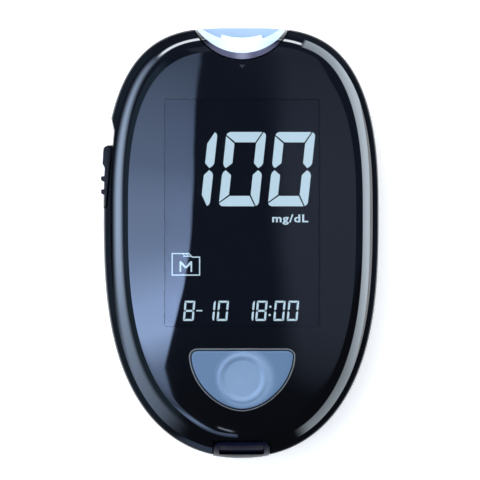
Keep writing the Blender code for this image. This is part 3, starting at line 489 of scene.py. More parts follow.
# Bright nickel plating on the thin trim
plated = surface(
    "bright_plated_trim", "#DEDBD8", "#E8E6E4", grain=3, rough=(0.34, 0.42), Metallic=0.8,
)
# Opal polycarbonate of the strip guide: pale blue, and lit white from its foot up by the lamp below, with
# painted shade where that glow is dimmed low down and to its sides
lit_guide = surface(
    "lit_opal_polycarbonate", "#B2CCE6", "#BCD4EA", grain=4, rough=(0.22, 0.28),
    IOR=1.58, Coat_Weight=0.3, Coat_Roughness=0.08,
)
# Lavender polycarbonate of the crescent round the guide, with painted shade darker to its tips and a
# painted highlight in its middle
crescent_pc = surface(
    "lavender_polycarbonate", "#585870", "#66667E", grain=3, rough=(0.16, 0.22), bump=0.02, bump_grain=0.5,
    IOR=1.58, Coat_Weight=0.4, Coat_Roughness=0.05,
)
# Nickel-plated steel of springs, plates and screws
nickel = surface(
    "nickel_plated_steel", "#B9B6B0", "#CFCCC6", grain=1, rough=(0.22, 0.36), bump=0.05, bump_grain=0.2,
    Metallic=1.0,
)
# Display glass with its polariser: near black, with a cold tint
display_glass = surface(
    "display_glass_dark_polariser", "#06070B", "#090A10", grain=12, rough=(0.08, 0.11), IOR=1.5,
)
# Milky acetal and acrylic inside
milky = surface(
    "milky_acetal", "#DADCDD", "#E8EAEB", grain=3, rough=(0.4, 0.5), bump=0.05, IOR=1.48,
    Subsurface_Weight=0.1, Subsurface_Scale=0.001,
)
# Glass-filled nylon of sockets, frame and chip
filled_nylon = surface(
    "glass_filled_nylon", "#121214", "#1C1C1F", grain=0.8, rough=(0.45, 0.6), bump=0.3,
    bump_grain=0.2, IOR=1.53,
)
# Gold flash on the strip contacts
gold_flash = surface(
    "gold_flash_contacts", "#D9A441", "#E8BC63", grain=0.6, rough=(0.2, 0.3), Metallic=1.0,
)
# Silicone rubber connector
silicone = surface(
    "silicone_rubber", "#2A2A2B", "#343435", grain=1, rough=(0.6, 0.75), bump=0.1, IOR=1.41,
)
# Brass sounder case
brass = surface(
    "plain_brass", "#B08D4A", "#C6A45F", grain=1.5, rough=(0.25, 0.4), bump=0.05, Metallic=1.0,
)
# Solder mask over copper
solder_mask = surface(
    "green_solder_mask", "#0E3B1E", "#14502A", grain=1.2, spread=0.06, rough=(0.3, 0.42), bump=0.15,
    bump_grain=0.8, IOR=1.5,
)
# Printed foil jacket of the cells
cell_foil = surface(
    "printed_foil_jacket", "#1B1E24", "#23272F", grain=4, rough=(0.22, 0.3), Metallic=0.4, Coat_Weight=0.6,
)
# Lit liquid-crystal segments: pale cyan, even, with the faintest mottle
lit_segment = surface(
    "lit_display_segment", "#1A1D1F", "#1D2022", grain=4, rough=(0.4, 0.5),
    Emission_Color=linear("#CBEBF5"), Emission_Strength=1.0,
)
# Grey pad-printed mark on the face
pad_print = surface(
    "grey_pad_print", "#2A2C34", "#303239", grain=1, rough=(0.4, 0.5), IOR=1.45,
)


def soft_change(tree, value, low, high, to_low=0.0, to_high=1.0):
    """A value that eases from one level to another between two limits."""
    return node(tree, "ShaderNodeMapRange", {
        "Value": value, "From Min": low, "From Max": high, "To Min": to_low, "To Max": to_high,
    }, interpolation_type="SMOOTHSTEP").outputs["Result"]


def tint_by(tree, share, colour):
    """The finish's own colour gives way to another one."""
    socket = tree.nodes["Principled BSDF"].inputs["Base Color"]
    base = socket.links[0].from_socket
    mixed = node(tree, "ShaderNodeMix", {"Factor": share, 6: base, 7: linear(colour)}, data_type="RGBA")
    tree.links.new(mixed.outputs[2], socket)


def glow_guide_and_paint_crescent_light():
    """The guide glows where it is thick over its lamp, its glow dimmed low down and to its sides as painted
    shade; the crescent gets painted shade toward its tips and a painted highlight in its middle.
    """
    tree = lit_guide.node_tree
    shader = tree.nodes["Principled BSDF"]
    where = node(tree, "ShaderNodeTexCoord").outputs["Object"]
    place = node(tree, "ShaderNodeSeparateXYZ", {"Vector": where}).outputs
    # The lamp's glow, dimmed near the foot and away from the middle as painted shade
    glow_with_painted_shade = soft_change(tree, place["Z"], slot_bottom + seat_gap, slot_top + 1.2 * mm)
    sideways = node(tree, "ShaderNodeMath", {0: place["X"]}, operation="ABSOLUTE").outputs[0]
    middle = soft_change(tree, sideways, 2.5 * mm, 7.5 * mm, 0.62, 0.24)
    lit = node(tree, "ShaderNodeMath", {0: glow_with_painted_shade, 1: middle}, operation="MULTIPLY").outputs[0]
    shader.inputs["Emission Color"].default_value = linear("#EAF4FF")
    tree.links.new(lit, shader.inputs["Emission Strength"])
    tree = crescent_pc.node_tree
    shader = tree.nodes["Principled BSDF"]
    where = node(tree, "ShaderNodeTexCoord").outputs["Object"]
    place = node(tree, "ShaderNodeSeparateXYZ", {"Vector": where}).outputs
    # Painted shade: the crescent darkens toward its tips
    painted_tip_shade = soft_change(tree, place["Y"], port_inner_y + 1.6 * mm, port_inner_y + 4.4 * mm)
    tint_by(tree, painted_tip_shade, "#07080C")
    # Painted highlight: a small glow in the crescent's middle, though the crescent is no lamp
    middle = (0, (port_inner_y + guide_inner_y) / 2, face_height(0, port_inner_y))
    reach = node(tree, "ShaderNodeVectorMath", {0: where, 1: middle}, operation="DISTANCE").outputs["Value"]
    spot = soft_change(tree, reach, 0.1 * mm, 2.4 * mm, 0.24, 0.0)
    shader.inputs["Emission Color"].default_value = linear("#D8E0FF")
    tree.links.new(spot, shader.inputs["Emission Strength"])


def paint_light_on_key():
    """Painted light: the key is lighter inside its ring than out to its corners."""
    tree = key_satin.node_tree
    where = node(tree, "ShaderNodeTexCoord").outputs["Object"]
    flat = node(tree, "ShaderNodeVectorMath", {0: where, 1: (1, 1, 0)}, operation="MULTIPLY")
    centre = (0.6 * mm, ring_centre_y, 0)
    reach = node(
        tree, "ShaderNodeVectorMath", {0: flat.outputs["Vector"], 1: centre}, operation="DISTANCE",
    ).outputs["Value"]
    # Painted shade darkens the key from its ring out to its corners
    tint_by(tree, soft_change(tree, reach, ring_radius - 0.7 * mm, ring_radius + 1.4 * mm), "#6884A4")


# Envelope, cutters and places shared by several pieces

def envelope(depth, shares=None):
    roll = corner(depth, rim_turn_height, face_inset - depth, face_edge_height - depth - rim_turn_height)
    rings = rings_of(back_profile(depth) + [(depth, rim_turn_height)] + roll[1:], shares)
    rings += [dome_ring(1 - step / 16, depth, shares) for step in range(1, 16)]
    return loft(rings)


ejector_top_y = top_end - 25.35 * mm
ejector_bottom_y = ejector_top_y - 12.9 * mm
ejector_bottom_height = 8.6 * mm
ejector_top_height = 15.2 * mm
ejector_inner_top = 1.7 * mm
ejector_inner_bottom = 0.5 * mm
ejector_travel = 4.5 * mm
bed_thickness = 1.4 * mm
notch_run = 5.9 * mm
notch_lead = 2.6 * mm
bay_bottom_y = bottom_end + 11.4 * mm
bay_top_y = bay_bottom_y + 50 * mm
bay_wall = 1.2 * mm
bay_half_width = 11.25 * mm
bay_wall_inner = bay_half_width + 1.6 * mm
door_end_y = bay_top_y - seat_gap
door_lip = 1 * mm
link_bar_y = bay_top_y + bay_wall + seat_gap
link_bar_width = 2.6 * mm
link_top = board_bottom - 1.6 * mm
link_bottom = link_top - 1.2 * mm
port_inner_y = top_end - 6.9 * mm
port_radius = 10.9 * mm
port_centre_y = port_inner_y + port_radius
guide_inner_y = port_inner_y + 1.3 * mm
guide_radius = 11.4 * mm
guide_centre_y = guide_inner_y + guide_radius
port_floor = parting_height + seat_gap
slot_bottom = board_top + seat_gap + 0.7 * mm
slot_top = slot_bottom + 1.2 * mm
slot_half_width = 3.85 * mm
hinge_y = bottom_end + 1.4 * mm
hinge_height = parting_height - 1.5 * mm
cover_width = 11.9 * mm
cover_bottom = parting_height + 0.6 * mm
cover_top_y = bottom_end + 3.4 * mm
jack_wall_y = cover_top_y + seat_gap
view_width = 33.1 * mm
view_length = 48.4 * mm
view_centre_y = top_end - 15.4 * mm - view_length / 2
boss_radius = 3 * mm
thread_radius = 1.1 * mm
screw_places = [
    (side * x, y) for x, y in ((13.3 * mm, 35.7 * mm), (16.95 * mm, -23.1 * mm)) for side in (-1, 1)
]


def notch():
    outside = -half_width - overrun
    low = ejector_bottom_height - seat_gap
    gap = seat_gap
    plan = (
        (outside, ejector_bottom_y - gap),
        (-half_width + ejector_inner_bottom + gap, ejector_bottom_y - gap),
        (-half_width + ejector_inner_top + gap, ejector_top_y),
        (-half_width + ejector_inner_top + 2 * gap, ejector_top_y + notch_run - notch_lead),
        (-half_width + ejector_inner_top, ejector_top_y + notch_run),
        (outside, ejector_top_y + notch_run),
    )
    return slab(plan, low, body_height)


def slider_window():
    """The open run above the slider's head, right through the side of the body."""
    outside = -half_width - overrun
    deep = -half_width + ejector_inner_top + seat_gap
    end = ejector_top_y + notch_run
    plan = (
        (outside, ejector_top_y + seat_gap), (deep, ejector_top_y + seat_gap),
        (deep + seat_gap, end - notch_lead), (deep - seat_gap, end), (outside, end),
    )
    return slab(plan, -overrun, body_height)


def post(radius, x, y, low, high, segments=32):
    """An upright round bar."""
    return bar(radius, (x, y, low), (x, y, high), segments)


def port_hole():
    return post(port_radius + seat_gap, 0, port_centre_y, 0, body_height + overrun, fine_steps)


def cover_pocket():
    half = cover_width / 2 + seat_gap
    return block(
        (-half, bottom_end - overrun, parting_height - overrun),
        (half, cover_top_y + seat_gap, body_height + overrun),
    )


def slider_bed(low_height, high_height):
    low_x = -half_width + ejector_inner_bottom + 2 * seat_gap
    high_x = -half_width + ejector_inner_top + seat_gap + bed_thickness
    return solid(block(
        (low_x, ejector_bottom_y - 2 * wall, low_height),
        (high_x, ejector_top_y + notch_run + wall, high_height),
    ))


def rounded_rectangle(width, length, centre_y, radius, steps=8):
    """A plan centred on the middle line."""
    points = []
    for quarter, (side, end) in enumerate(((1, 1), (-1, 1), (-1, -1), (1, -1))):
        for step in range(steps + 1):
            angle = math.pi / 2 * (quarter + step / steps)
            x = side * (width / 2 - radius) + radius * math.cos(angle)
            y = centre_y + end * (length / 2 - radius) + radius * math.sin(angle)
            points.append((x, y))
    return points


# Button outline

button_half_width = 10.76 * mm
button_depth = 11.2 * mm
button_corner = 1.4 * mm
button_shoulder = 1.1 * mm
button_power = 1.8
button_top_y = view_centre_y - view_length / 2 - 5.15 * mm
button_line_y = button_top_y - button_shoulder
button_proud = 0.5 * mm
button_flange = 0.9 * mm
ring_radius = 5.5 * mm
ring_centre_y = button_top_y - ring_radius - 0.3 * mm


def button_outline(grow):
    side, depth = button_half_width + grow, button_depth + grow
    corner_width, rise = button_corner + grow, button_shoulder + grow
    right = []
    steps = 56
    for step in range(steps + 1):
        angle = math.pi / 2 * step / steps
        across = side * math.sin(angle) ** (2 / button_power)
        along = depth * math.cos(angle) ** (2 / button_power)
        right.append((across, button_line_y - along))
    for step in range(1, 13):
        angle = math.pi / 2 * step / 12
        across = side - corner_width * (1 - math.cos(angle))
        right.append((across, button_line_y + rise * math.sin(angle)))
    end = right[-1]
    right += [(end[0] * (1 - step / 16), end[1]) for step in range(1, 17)]
    return right + [(-across, along) for across, along in reversed(right[1:-1])]


def level_ring(grow, height):
    return [Vector((x, y, height)) for x, y in button_outline(grow)]


def face_ring(grow, proud):
    return [Vector((x, y, face_height(x, y) + proud)) for x, y in button_outline(grow)]


# Face

# How far the edge of the skin falls below the dome, and how fast it comes up to it
roll_fall = 2.13 * mm
roll_power = 1.5
dome_steps = 34
window_corner = 0.6 * mm
key_gap = 0.6 * mm
key_bevel = 0.1 * mm
# A face whose normal rises less than this is a side wall
steep = 0.35


def lens_rings(steps=22):
    """The polished outer skin: a steep edge roll that eases into the dome."""
    rings = [outline_ring(rim_width, lens_lip_height)]
    for step in range(steps + 1):
        share = 1 - (1 - step / steps) ** 2
        inset = rim_width + edge_roll_width * share
        fall = roll_fall * (1 - share) ** roll_power
        ring = outline_ring(inset, 0)
        rings.append([Vector((p.x, p.y, face_height(p.x, p.y) - fall)) for p in ring])
    return rings + [dome_ring(1 - step / dome_steps) for step in range(1, dome_steps)]


def lens_floor_rings():
    """The hollow under the lens."""
    lift = lens_lip_height + hair
    inset, width = rim_width + lens_thickness, edge_roll_width - lens_thickness
    roll = corner(inset, lift, width, face_edge_height - lens_thickness - lift, 16)
    return rings_of(roll) + [
        dome_ring(1 - step / dome_steps, lens_thickness) for step in range(1, dome_steps)
    ]


def make_face():
    outer = lens_rings()
    skin = solid(loft(outer[1:], capped=False))
    lens = solid(loft(lens_floor_rings()[::-1] + outer))

    def window(grow):
        plan = rounded_rectangle(
            view_width + grow, view_length + grow, view_centre_y, window_corner + grow / 2
        )
        return slab(plan, deck_bottom, body_height + overrun)

    clear = keep_inside(copy_of(lens), window(-hair))
    hole = loft([
        level_ring(key_gap, deck_top - overrun),
        face_ring(key_gap, -0.12 * mm),
        face_ring(key_gap + key_bevel, 0.01 * mm),
        level_ring(key_gap + key_bevel, body_height + overrun),
    ])
    cut(lens, port_hole(), cover_pocket(), hole, window(0))
    show(lens, "face_cover", printed_acrylic, "housing", "face_window", "face_lens", skin=skin)
    show(
        clear, "clear_window_insert", clear_acrylic, "housing", "clear_window", "display_window", skin=skin
    )
    clear.data.materials.append(edge_ink)
    for face in clear.data.polygons:
        if abs(face.normal.z) < steep:
            face.material_index = 1
    bpy.data.objects.remove(skin)
    half, tall, spot_y = 0.62 * mm, 0.8 * mm, photo_y(67.8)
    corners = ((-half, spot_y + tall / 2), (half, spot_y + tall / 2), (0, spot_y - tall / 2))
    sunk, print_height = 0.05 * mm, 0.06 * mm
    mark = prism([Vector((x, y, face_height(x, y) - sunk)) for x, y in corners], (0, 0, print_height))
    show(solid(mark), "strip_side_mark", pad_print, "housing", "face_window")


def make_button():
    """A satin key whose top follows the face, with a raised ring round a dished middle."""
    centre = Vector((0, ring_centre_y))
    flange_top = deck_bottom - seat_gap
    flange_bottom = flange_top - button_flange
    rounding = 0.28 * mm
    rings = [
        level_ring(button_flange, flange_bottom),
        level_ring(button_flange, flange_top - running_gap),
        level_ring(0, flange_top),
        face_ring(0, button_proud - rounding - 1 * mm),
    ]
    for inset, proud in corner(0, button_proud - rounding, rounding, rounding, 6):
        rings.append(face_ring(-inset, proud))
    rim = button_outline(-rounding)
    outer = ring_radius - 0.05 * mm

    def relief(radius):
        """Height of the ring and the dish over the cap."""
        def ease(low, high):
            share = min(max((radius - low) / (high - low), 0), 1)
            return share * share * (3 - 2 * share)
        ridge = 0.3 * mm * (1 - ease(4.9 * mm, outer))
        dish = 0.5 * mm * (1 - ease(3.7 * mm, 4.75 * mm))
        return ridge - dish - 0.05 * mm * (1 - ease(0, 3.5 * mm))

    def top_ring(places):
        return [
            Vector((x, y, face_height(x, y) + button_proud + relief(math.hypot(x, y - centre.y))))
            for x, y in places
        ]

    def circle(radius):
        places = []
        for x, y in rim:
            out = (Vector((x, y)) - centre).normalized() * radius
            places.append((out.x, centre.y + out.y))
        return places

    wide = circle(outer)
    for share in (0.12, 0.28, 0.46, 0.64, 0.82):
        rings.append(top_ring([
            (a[0] + (b[0] - a[0]) * share, a[1] + (b[1] - a[1]) * share) for a, b in zip(rim, wide)
        ]))
    radius = outer
    while radius > 0.3 * mm:
        rings.append(top_ring(circle(radius)))
        radius -= 0.09 * mm if radius > 3.7 * mm else 0.4 * mm
    paint_light_on_key()
    show(solid(loft(rings)), "button_cap", key_satin, "button", "button_blue", "main_button", angle=50)
    profile = in_mm((
        (0.32, -0.06), (0.34, 0.0), (0.37, 0.03), (0.41, 0.04), (0.45, 0.03), (0.48, 0.0), (0.5, -0.06),
    ))
    low = deck_top + seat_gap
    trim = [level_ring(profile[0][0], low)]
    trim += [face_ring(grow, proud) for grow, proud in profile]
    trim += [level_ring(profile[-1][0], low + hair)]
    show(
        solid(loft(trim, wrap=True)), "button_trim_ring", plated, "housing", "bright_trim", "button_trim",
        angle=60,
    )


# Shells

def make_front_case():
    turn = 0.044 * mm
    outside = [(edge_round, shell_foot), (turn, shell_foot + turn), (0, shell_foot + edge_round)]
    outside += corner(0, shoulder_height, shoulder_width, shoulder_rise, 10)
    outside.append((rim_width, rim_top_height))
    lip_inset = rim_width + lens_thickness + seat_gap
    ledge = [(lip_inset, rim_top_height - running_gap), (face_inset + running_gap, deck_top)]
    inside = [
        (face_inset, deck_bottom),
        (rim_width + wall, rim_top_height - wall),
        (wall, rim_turn_height),
        (wall, shell_foot + hair),
    ]
    case = solid(loft(rings_of(inside + outside + ledge)))
    skin = solid(loft(rings_of(outside), capped=False))
    jack_half = 7.5 * mm
    jack_wall = 1.3 * mm
    bed = slider_bed(parting_height + seat_gap, rim_top_height - running_gap)
    keep_inside(bed, envelope(wall / 2, plain_shares))
    jack_block = solid(block(
        (-jack_half, bottom_end, parting_height + seat_gap),
        (jack_half, jack_wall_y + jack_wall / 2, rim_top_height - wall / 4),
    ))
    keep_inside(jack_block, envelope(wall / 2, plain_shares))
    jack_side = solid(block(
        (-jack_half, jack_wall_y, parting_height + wall / 2),
        (jack_half, jack_wall_y + jack_wall, body_height),
    ))
    keep_inside(jack_side, envelope(2.8 * mm, plain_shares))
    bosses = []
    for x, y in screw_places:
        boss = solid(post(boss_radius, x, y, board_top + seat_gap, 17.7 * mm))
        bosses.append(keep_inside(boss, envelope(wall / 2, plain_shares)))
    join(case, bed, jack_block, jack_side, *bosses)
    view = rounded_rectangle(view_width, view_length, view_centre_y, 2 * window_corner)
    jack_room = 3.9 * mm
    jack_hole = block(
        (-jack_room, bottom_end, board_top + pin_gap),
        (jack_room, jack_wall_y + jack_wall + overrun / 2, board_top + 2.7 * mm),
    )
    holes = [post(thread_radius, x, y, board_top, deck_bottom) for x, y in screw_places]
    cut(
        case,
        slab(view, deck_bottom - overrun, body_height),
        loft([level_ring(running_gap, deck_bottom - overrun), level_ring(running_gap, deck_top + overrun)]),
        port_hole(),
        cover_pocket(),
        notch(),
        jack_hole,
        *holes,
    )
    show(case, "front_case", gloss_abs, "housing", "black_shell", "front_housing", skin=skin)
    bpy.data.objects.remove(skin)


def door_track(grow, end_y):
    narrow, wide = bay_half_width + grow, bay_half_width + door_lip + grow
    top = 4.7 * mm + grow
    step = 0.95 * mm - grow
    profile = (
        (-narrow, -overrun), (narrow, -overrun), (narrow, step), (wide, step),
        (wide, top), (-wide, top), (-wide, step), (-narrow, step),
    )
    start_y = bottom_end - overrun
    return prism([Vector((x, start_y, height)) for x, height in profile], (0, end_y - start_y, 0))


def make_rear_case():
    up = parting_height
    outside = back_profile(0) + [
        (0, up - edge_round), (0.3 * edge_round, up - 0.3 * edge_round), (edge_round, up),
    ]
    inside = [(wall, up - hair)] + back_profile(wall)[::-1]
    case = solid(loft(rings_of(inside[::-1] + outside[::-1])))
    skin = solid(loft(rings_of(outside)))
    root = wall / 2
    high = board_bottom - seat_gap
    bed = keep_inside(slider_bed(wall, up), envelope(wall / 2, plain_shares))
    cut(case, door_track(0.3 * mm, bay_top_y))
    across = bay_wall_inner + bay_wall / 2
    walls = [
        block((-across, bay_top_y, root), (across, bay_top_y + bay_wall, high)),
        block((-across, bay_bottom_y - bay_wall, wall + seat_gap), (across, bay_bottom_y, high)),
    ]
    for side in (-1, 1):
        near, far = side * bay_wall_inner, side * (bay_wall_inner + bay_wall)
        walls.append(block(
            (min(near, far), bay_bottom_y - bay_wall - hair, root),
            (max(near, far), bay_top_y + bay_wall + hair, high - hair),
        ))
    for x, y in screw_places:
        walls.append(post(boss_radius, x, y, root, high - 2 * hair))
    rib_top = link_bottom - seat_gap
    walls += [
        block((-20.5 * mm, link_bar_y, root), (-19.3 * mm, link_bar_y + 9 * mm, rib_top)),
        block((-0.6 * mm, bay_top_y + hair, root), (0.6 * mm, port_inner_y - 2 * seat_gap, rib_top)),
        block((-11 * mm, 28.8 * mm, root), (-7 * mm, 30 * mm, high)),
        block((-port_radius, port_inner_y, up - 1.2 * mm), (port_radius, top_end - wall / 2, up - hair)),
        block((-6.6 * mm, hinge_y - wall / 4, up - 3.5 * mm), (6.6 * mm, hinge_y + 2.2 * mm, up - hair)),
    ]
    join(case, bed, *walls)
    pocket_half = 4.3 * mm
    knuckle = 1.2 * mm
    side = cover_width / 2 + seat_gap
    cutters = [
        block(
            (-pocket_half, bottom_end - overrun, hinge_height - knuckle - seat_gap),
            (pocket_half, hinge_y + knuckle + seat_gap, up + overrun),
        ),
        block(
            (-side, bottom_end - overrun, up - 0.3 * mm),
            (side, hinge_y + knuckle + seat_gap, up + overrun),
        ),
        bar(0.65 * mm, (-5.7 * mm, hinge_y, hinge_height), (5.7 * mm, hinge_y, hinge_height)),
        notch(),
        slider_window(),
        block(
            (-half_width - overrun, link_bar_y - seat_gap, link_bottom - seat_gap),
            (
                -half_width + ejector_inner_top + 2 * seat_gap + 2 * bed_thickness,
                link_bar_y + link_bar_width + ejector_travel + seat_gap,
                up + seat_gap / 2,
            ),
        ),
    ]
    for x, y in screw_places:
        well = in_mm((
            (0, -3), (3.2, -3), (3.2, -0.3), (2.6, 0), (2.35, 0.12), (2.2, 0.4), (2.2, 7.3), (1.1, 7.3),
            (1.1, 13), (0, 13),
        ))
        bm = turned(well, 40)
        bmesh.ops.translate(bm, vec=(x, y, 0), verts=bm.verts)
        cutters.append(bm)
    cut(case, *cutters)
    show(case, "rear_case", textured_abs, "housing", "black_shell", "rear_housing", skin=skin)

    hatch = solid(loft(rings_of(back_profile(0) + [(0, up)])))
    keep_inside(hatch, door_track(0, door_end_y))
    cut(hatch, loft(rings_of(back_profile(wall) + [(wall, up + hair)])))
    grooves = []
    for number in range(3):
        y = door_end_y - 4.5 * mm - number * 2.4 * mm
        grooves.append(slab(rounded_rectangle(7 * mm, 1.1 * mm, y, 0.5 * mm), -overrun, 0.6 * mm))
    arrow = [(x, door_end_y + y) for x, y in in_mm(((-2.2, -13.2), (2.2, -13.2), (0, -15.6)))]
    grooves.append(slab(arrow, -overrun, 0.25 * mm))
    cut(hatch, *grooves)
    show(hatch, "battery_hatch", textured_abs, "battery_cover", "black_shell", "battery_door", skin=skin)
    bpy.data.objects.remove(skin)


# Strip port

def make_strip_port():
    way = (
        (-slot_half_width, port_inner_y - overrun, slot_bottom),
        (slot_half_width, top_end + overrun, slot_top),
    )
    skin = solid(envelope(0))
    roof = body_height + overrun
    crescent = solid(post(port_radius, 0, port_centre_y, port_floor, roof, fine_steps))
    cut(crescent, post(guide_radius, 0, guide_centre_y, 0, roof + overrun, fine_steps))
    keep_inside(crescent, envelope(0))
    cut(crescent, block(*way))
    show(crescent, "port_crescent", crescent_pc, "housing", "bezel_lilac", "strip_port_bezel", skin=skin)

    guide = solid(post(guide_radius - hair, 0, guide_centre_y, port_floor, roof, fine_steps))
    keep_inside(guide, envelope(0))
    # The mouth: a flat lower jaw with a smiling edge, inside a thick lip that thins to its ends
    jaw_y = photo_y(38.5)
    jaw_half = 4.2 * mm
    smile_radius = 13.3 * mm
    lip_centre_y = jaw_y + 12.3 * mm
    jaw = []
    for step in range(17):
        x = jaw_half * (step / 8 - 1)
        jaw.append((x, jaw_y + x * x / (2 * smile_radius)))
    reach = top_end + overrun
    start = math.asin(jaw_half * 1.08 / smile_radius)
    finish = math.acos((lip_centre_y - reach) / smile_radius)
    lip = []
    for step in range(13):
        angle = start + (finish - start) * step / 12
        lip.append((smile_radius * math.sin(angle), lip_centre_y - smile_radius * math.cos(angle)))
    plan = [(-x, y) for x, y in reversed(lip)] + jaw + lip
    mouth = slab(plan, slot_bottom, roof)
    # The lit ramp behind it, sagging a little between the lip and the jaw
    ramp_y = guide_inner_y + 1.3 * mm
    head = Vector((ramp_y, face_height(0, guide_inner_y) - 0.5 * mm))
    foot = Vector((jaw_y + mm, slot_top + 0.7 * mm))
    profile = [(ramp_y, roof)]
    for step in range(9):
        share = step / 8
        sag = 0.35 * mm * math.sin(math.pi * share)
        spot = head.lerp(foot, share)
        profile.append((spot.x - sag, spot.y - sag))
    profile.append((foot.x, roof))
    ends = [Vector((-port_radius, y, height)) for y, height in profile]
    ramp = solid(prism(ends, (2 * port_radius, 0, 0)))
    keep_inside(ramp, post(smile_radius, 0, lip_centre_y, 0, roof + overrun, fine_steps))
    ramp_half = jaw_half + 1.4 * mm
    keep_inside(ramp, block((-ramp_half, ramp_y - mm, 0), (ramp_half, reach, roof + overrun)))
    cut(guide, mouth, ramp, block(*way))
    glow_guide_and_paint_crescent_light()
    show(guide, "strip_guide", lit_guide, "housing", "port_white", "strip_port_guide", skin=skin, angle=24)
    bpy.data.objects.remove(skin)


# Slider and flap

def make_slider():
    skin = -half_width
    top, bottom = ejector_top_y, ejector_bottom_y
    small = 0.4 * mm
    stem = skin + 0.25 * mm
    head_end = top - 3.7 * mm
    plan = [
        (skin + ejector_inner_top, top), (skin + small, top), (skin, top - small),
        (skin - 0.2 * mm, head_end), (stem, head_end - 2 * small),
    ]
    for start in (6.4 * mm, 9.2 * mm):
        rib = top - start
        plan += [
            (stem, rib), (skin - 0.5 * mm, rib), (skin - 0.5 * mm, rib - 0.85 * mm),
            (stem, rib - 0.85 * mm - small),
        ]
    plan += [(stem, bottom), (skin + ejector_inner_bottom, bottom)]
    bm = slab(plan, ejector_bottom_height, ejector_top_height)
    bmesh.ops.recalc_face_normals(bm, faces=bm.faces)
    soften(bm, 0.14 * mm, 3, 20)
    slider = solid(bm)
    foot_end = skin + ejector_inner_top + 3 * seat_gap + bed_thickness
    foot = block(
        (skin + ejector_inner_bottom, link_bar_y, link_bottom),
        (foot_end, link_bar_y + link_bar_width, link_top),
    )
    join(slider, foot)
    show(slider, "eject_slider", satin_abs, "ejector", "dark_satin", "strip_ejector")


def make_flap():
    proud = 0.2 * mm
    skin = solid(envelope(-proud))
    flap = copy_of(skin)
    half = cover_width / 2
    reach_y = bottom_end - overrun
    turn = 1.2 * mm
    nick = 0.35 * turn
    right = [(half, reach_y), (half, cover_top_y - turn), (half - nick, cover_top_y - nick)]
    right.append((half - turn, cover_top_y))
    plan = right + [(-x, y) for x, y in reversed(right)]
    keep_inside(flap, slab(plan, cover_bottom, body_height + overrun))
    far_y = cover_top_y - 0.5 * mm
    recess_half = 4.8 * mm
    recess = solid(block(
        (-recess_half, far_y - 2.2 * mm, cover_bottom), (recess_half, far_y, body_height + overrun),
        0.25 * mm,
    ))
    cut(recess, envelope(0.45 * mm))
    cut(flap, envelope(wall, plain_shares), recess)
    web = block(
        (-3.725 * mm, hinge_y - 1.1 * mm, hinge_height + 0.3 * mm),
        (3.725 * mm, hinge_y + 0.275 * mm, cover_bottom + 1.1 * mm),
    )
    join(flap, web, bar(1.2 * mm, (-4 * mm, hinge_y, hinge_height), (4 * mm, hinge_y, hinge_height), 48))
    cut(flap, bar(0.7 * mm, (-8 * mm, hinge_y, hinge_height), (8 * mm, hinge_y, hinge_height), 32))
    show(flap, "port_flap", navy_abs, "port_cover", "dark_satin", "data_port_cover", skin=skin)
    bpy.data.objects.remove(skin)


# Display

figure_level = lcd_top + 0.01 * mm
figure_rise = 0.05 * mm


def draw(bm, plan):
    """A flat shape on the display, with a small thickness."""
    slab(plan, figure_level, figure_level + figure_rise, bm)


def seven_segments(bm, left, bottom, width, height, upright, level_bar, gap, lean, lit):
    """Lit bars of one leaning seven-segment figure: a rounded frame, mitred at its corners."""
    middle = height / 2
    turn = 0.06 * height
    tip = 0.08 * height
    steps = 5

    def arc(start, finish, on_right=False):
        """Points on a rounded upper corner of the frame, between two angles in degrees."""
        points = []
        for step in range(steps + 1):
            angle = math.radians(start + (finish - start) * step / steps)
            x = turn * (1 - math.cos(angle))
            points.append((width - x if on_right else x, height - turn * (1 - math.sin(angle))))
        return points

    def over(points):
        return [(x, height - y) for x, y in points]

    inner = height - level_bar
    right = width - upright
    waist = middle + 0.8 * gap
    knee = middle + 0.55 * tip
    bar_a = arc(20, 90) + arc(90, 84, True) + [(right - 0.7 * gap, inner), (upright + 0.7 * gap, inner)]
    bar_f = arc(0, 3) + [
        (upright, inner - gap), (upright, middle + tip), (0.34 * upright, waist), (0.1 * upright, knee),
        (0, middle + tip),
    ]
    bar_b = arc(0, 68, True)[::-1] + [
        (width, middle + tip), (width - 0.14 * upright, knee), (width - 0.48 * upright, waist),
        (right, middle + tip), (right, inner - gap),
    ]
    half = level_bar / 2
    near, far = upright + gap / 2, right - gap / 2
    bar_g = [
        (upright / 2 + gap, middle), (near, middle + half), (far, middle + half),
        (width - upright / 2 - gap, middle), (far, middle - half), (near, middle - half),
    ]
    shapes = {
        "a": bar_a, "b": bar_b, "c": over(bar_b), "d": over(bar_a), "e": over(bar_f), "f": bar_f,
        "g": bar_g,
    }
    for letter in lit:
        draw(bm, [(left + x + lean * y, bottom + y) for x, y in shapes[letter]])


def stroke(bm, start, finish, width):
    """A straight line with a width."""
    start, finish = Vector((*start, figure_level)), Vector((*finish, figure_level))
    side = (finish - start).normalized().orthogonal() * width / 2
    prism([start + side, start - side, finish - side, finish + side], (0, 0, figure_rise), bm)


def mesh_of(curve):
    """A curve or a text as a mesh with its doubles merged."""
    holder = bpy.data.objects.new(curve.name, curve)
    bpy.context.scene.collection.objects.link(holder)
    bpy.context.view_layer.update()
    graph = bpy.context.evaluated_depsgraph_get()
    mesh = bpy.data.meshes.new_from_object(holder.evaluated_get(graph))
    bpy.data.objects.remove(holder, do_unlink=True)
    bm = bmesh.new()
    bm.from_mesh(mesh)
    bpy.data.meshes.remove(mesh)
    bmesh.ops.remove_doubles(bm, verts=bm.verts, dist=0.0005 * mm)
    return bm


def lettering(words, size, thicken):
    """Words as a flat-bottomed mesh, with its first corner at the origin."""
    curve = bpy.data.curves.new("lettering", "FONT")
    curve.body = words
    curve.size = size
    curve.offset = thicken
    curve.space_character = 1.12
    curve.extrude = figure_rise / 2
    curve.resolution_u = 6
    bm = mesh_of(curve)
    low = Vector([min(v.co[axis] for v in bm.verts) for axis in range(3)])
    bmesh.ops.translate(bm, vec=-low, verts=bm.verts)
    return bm


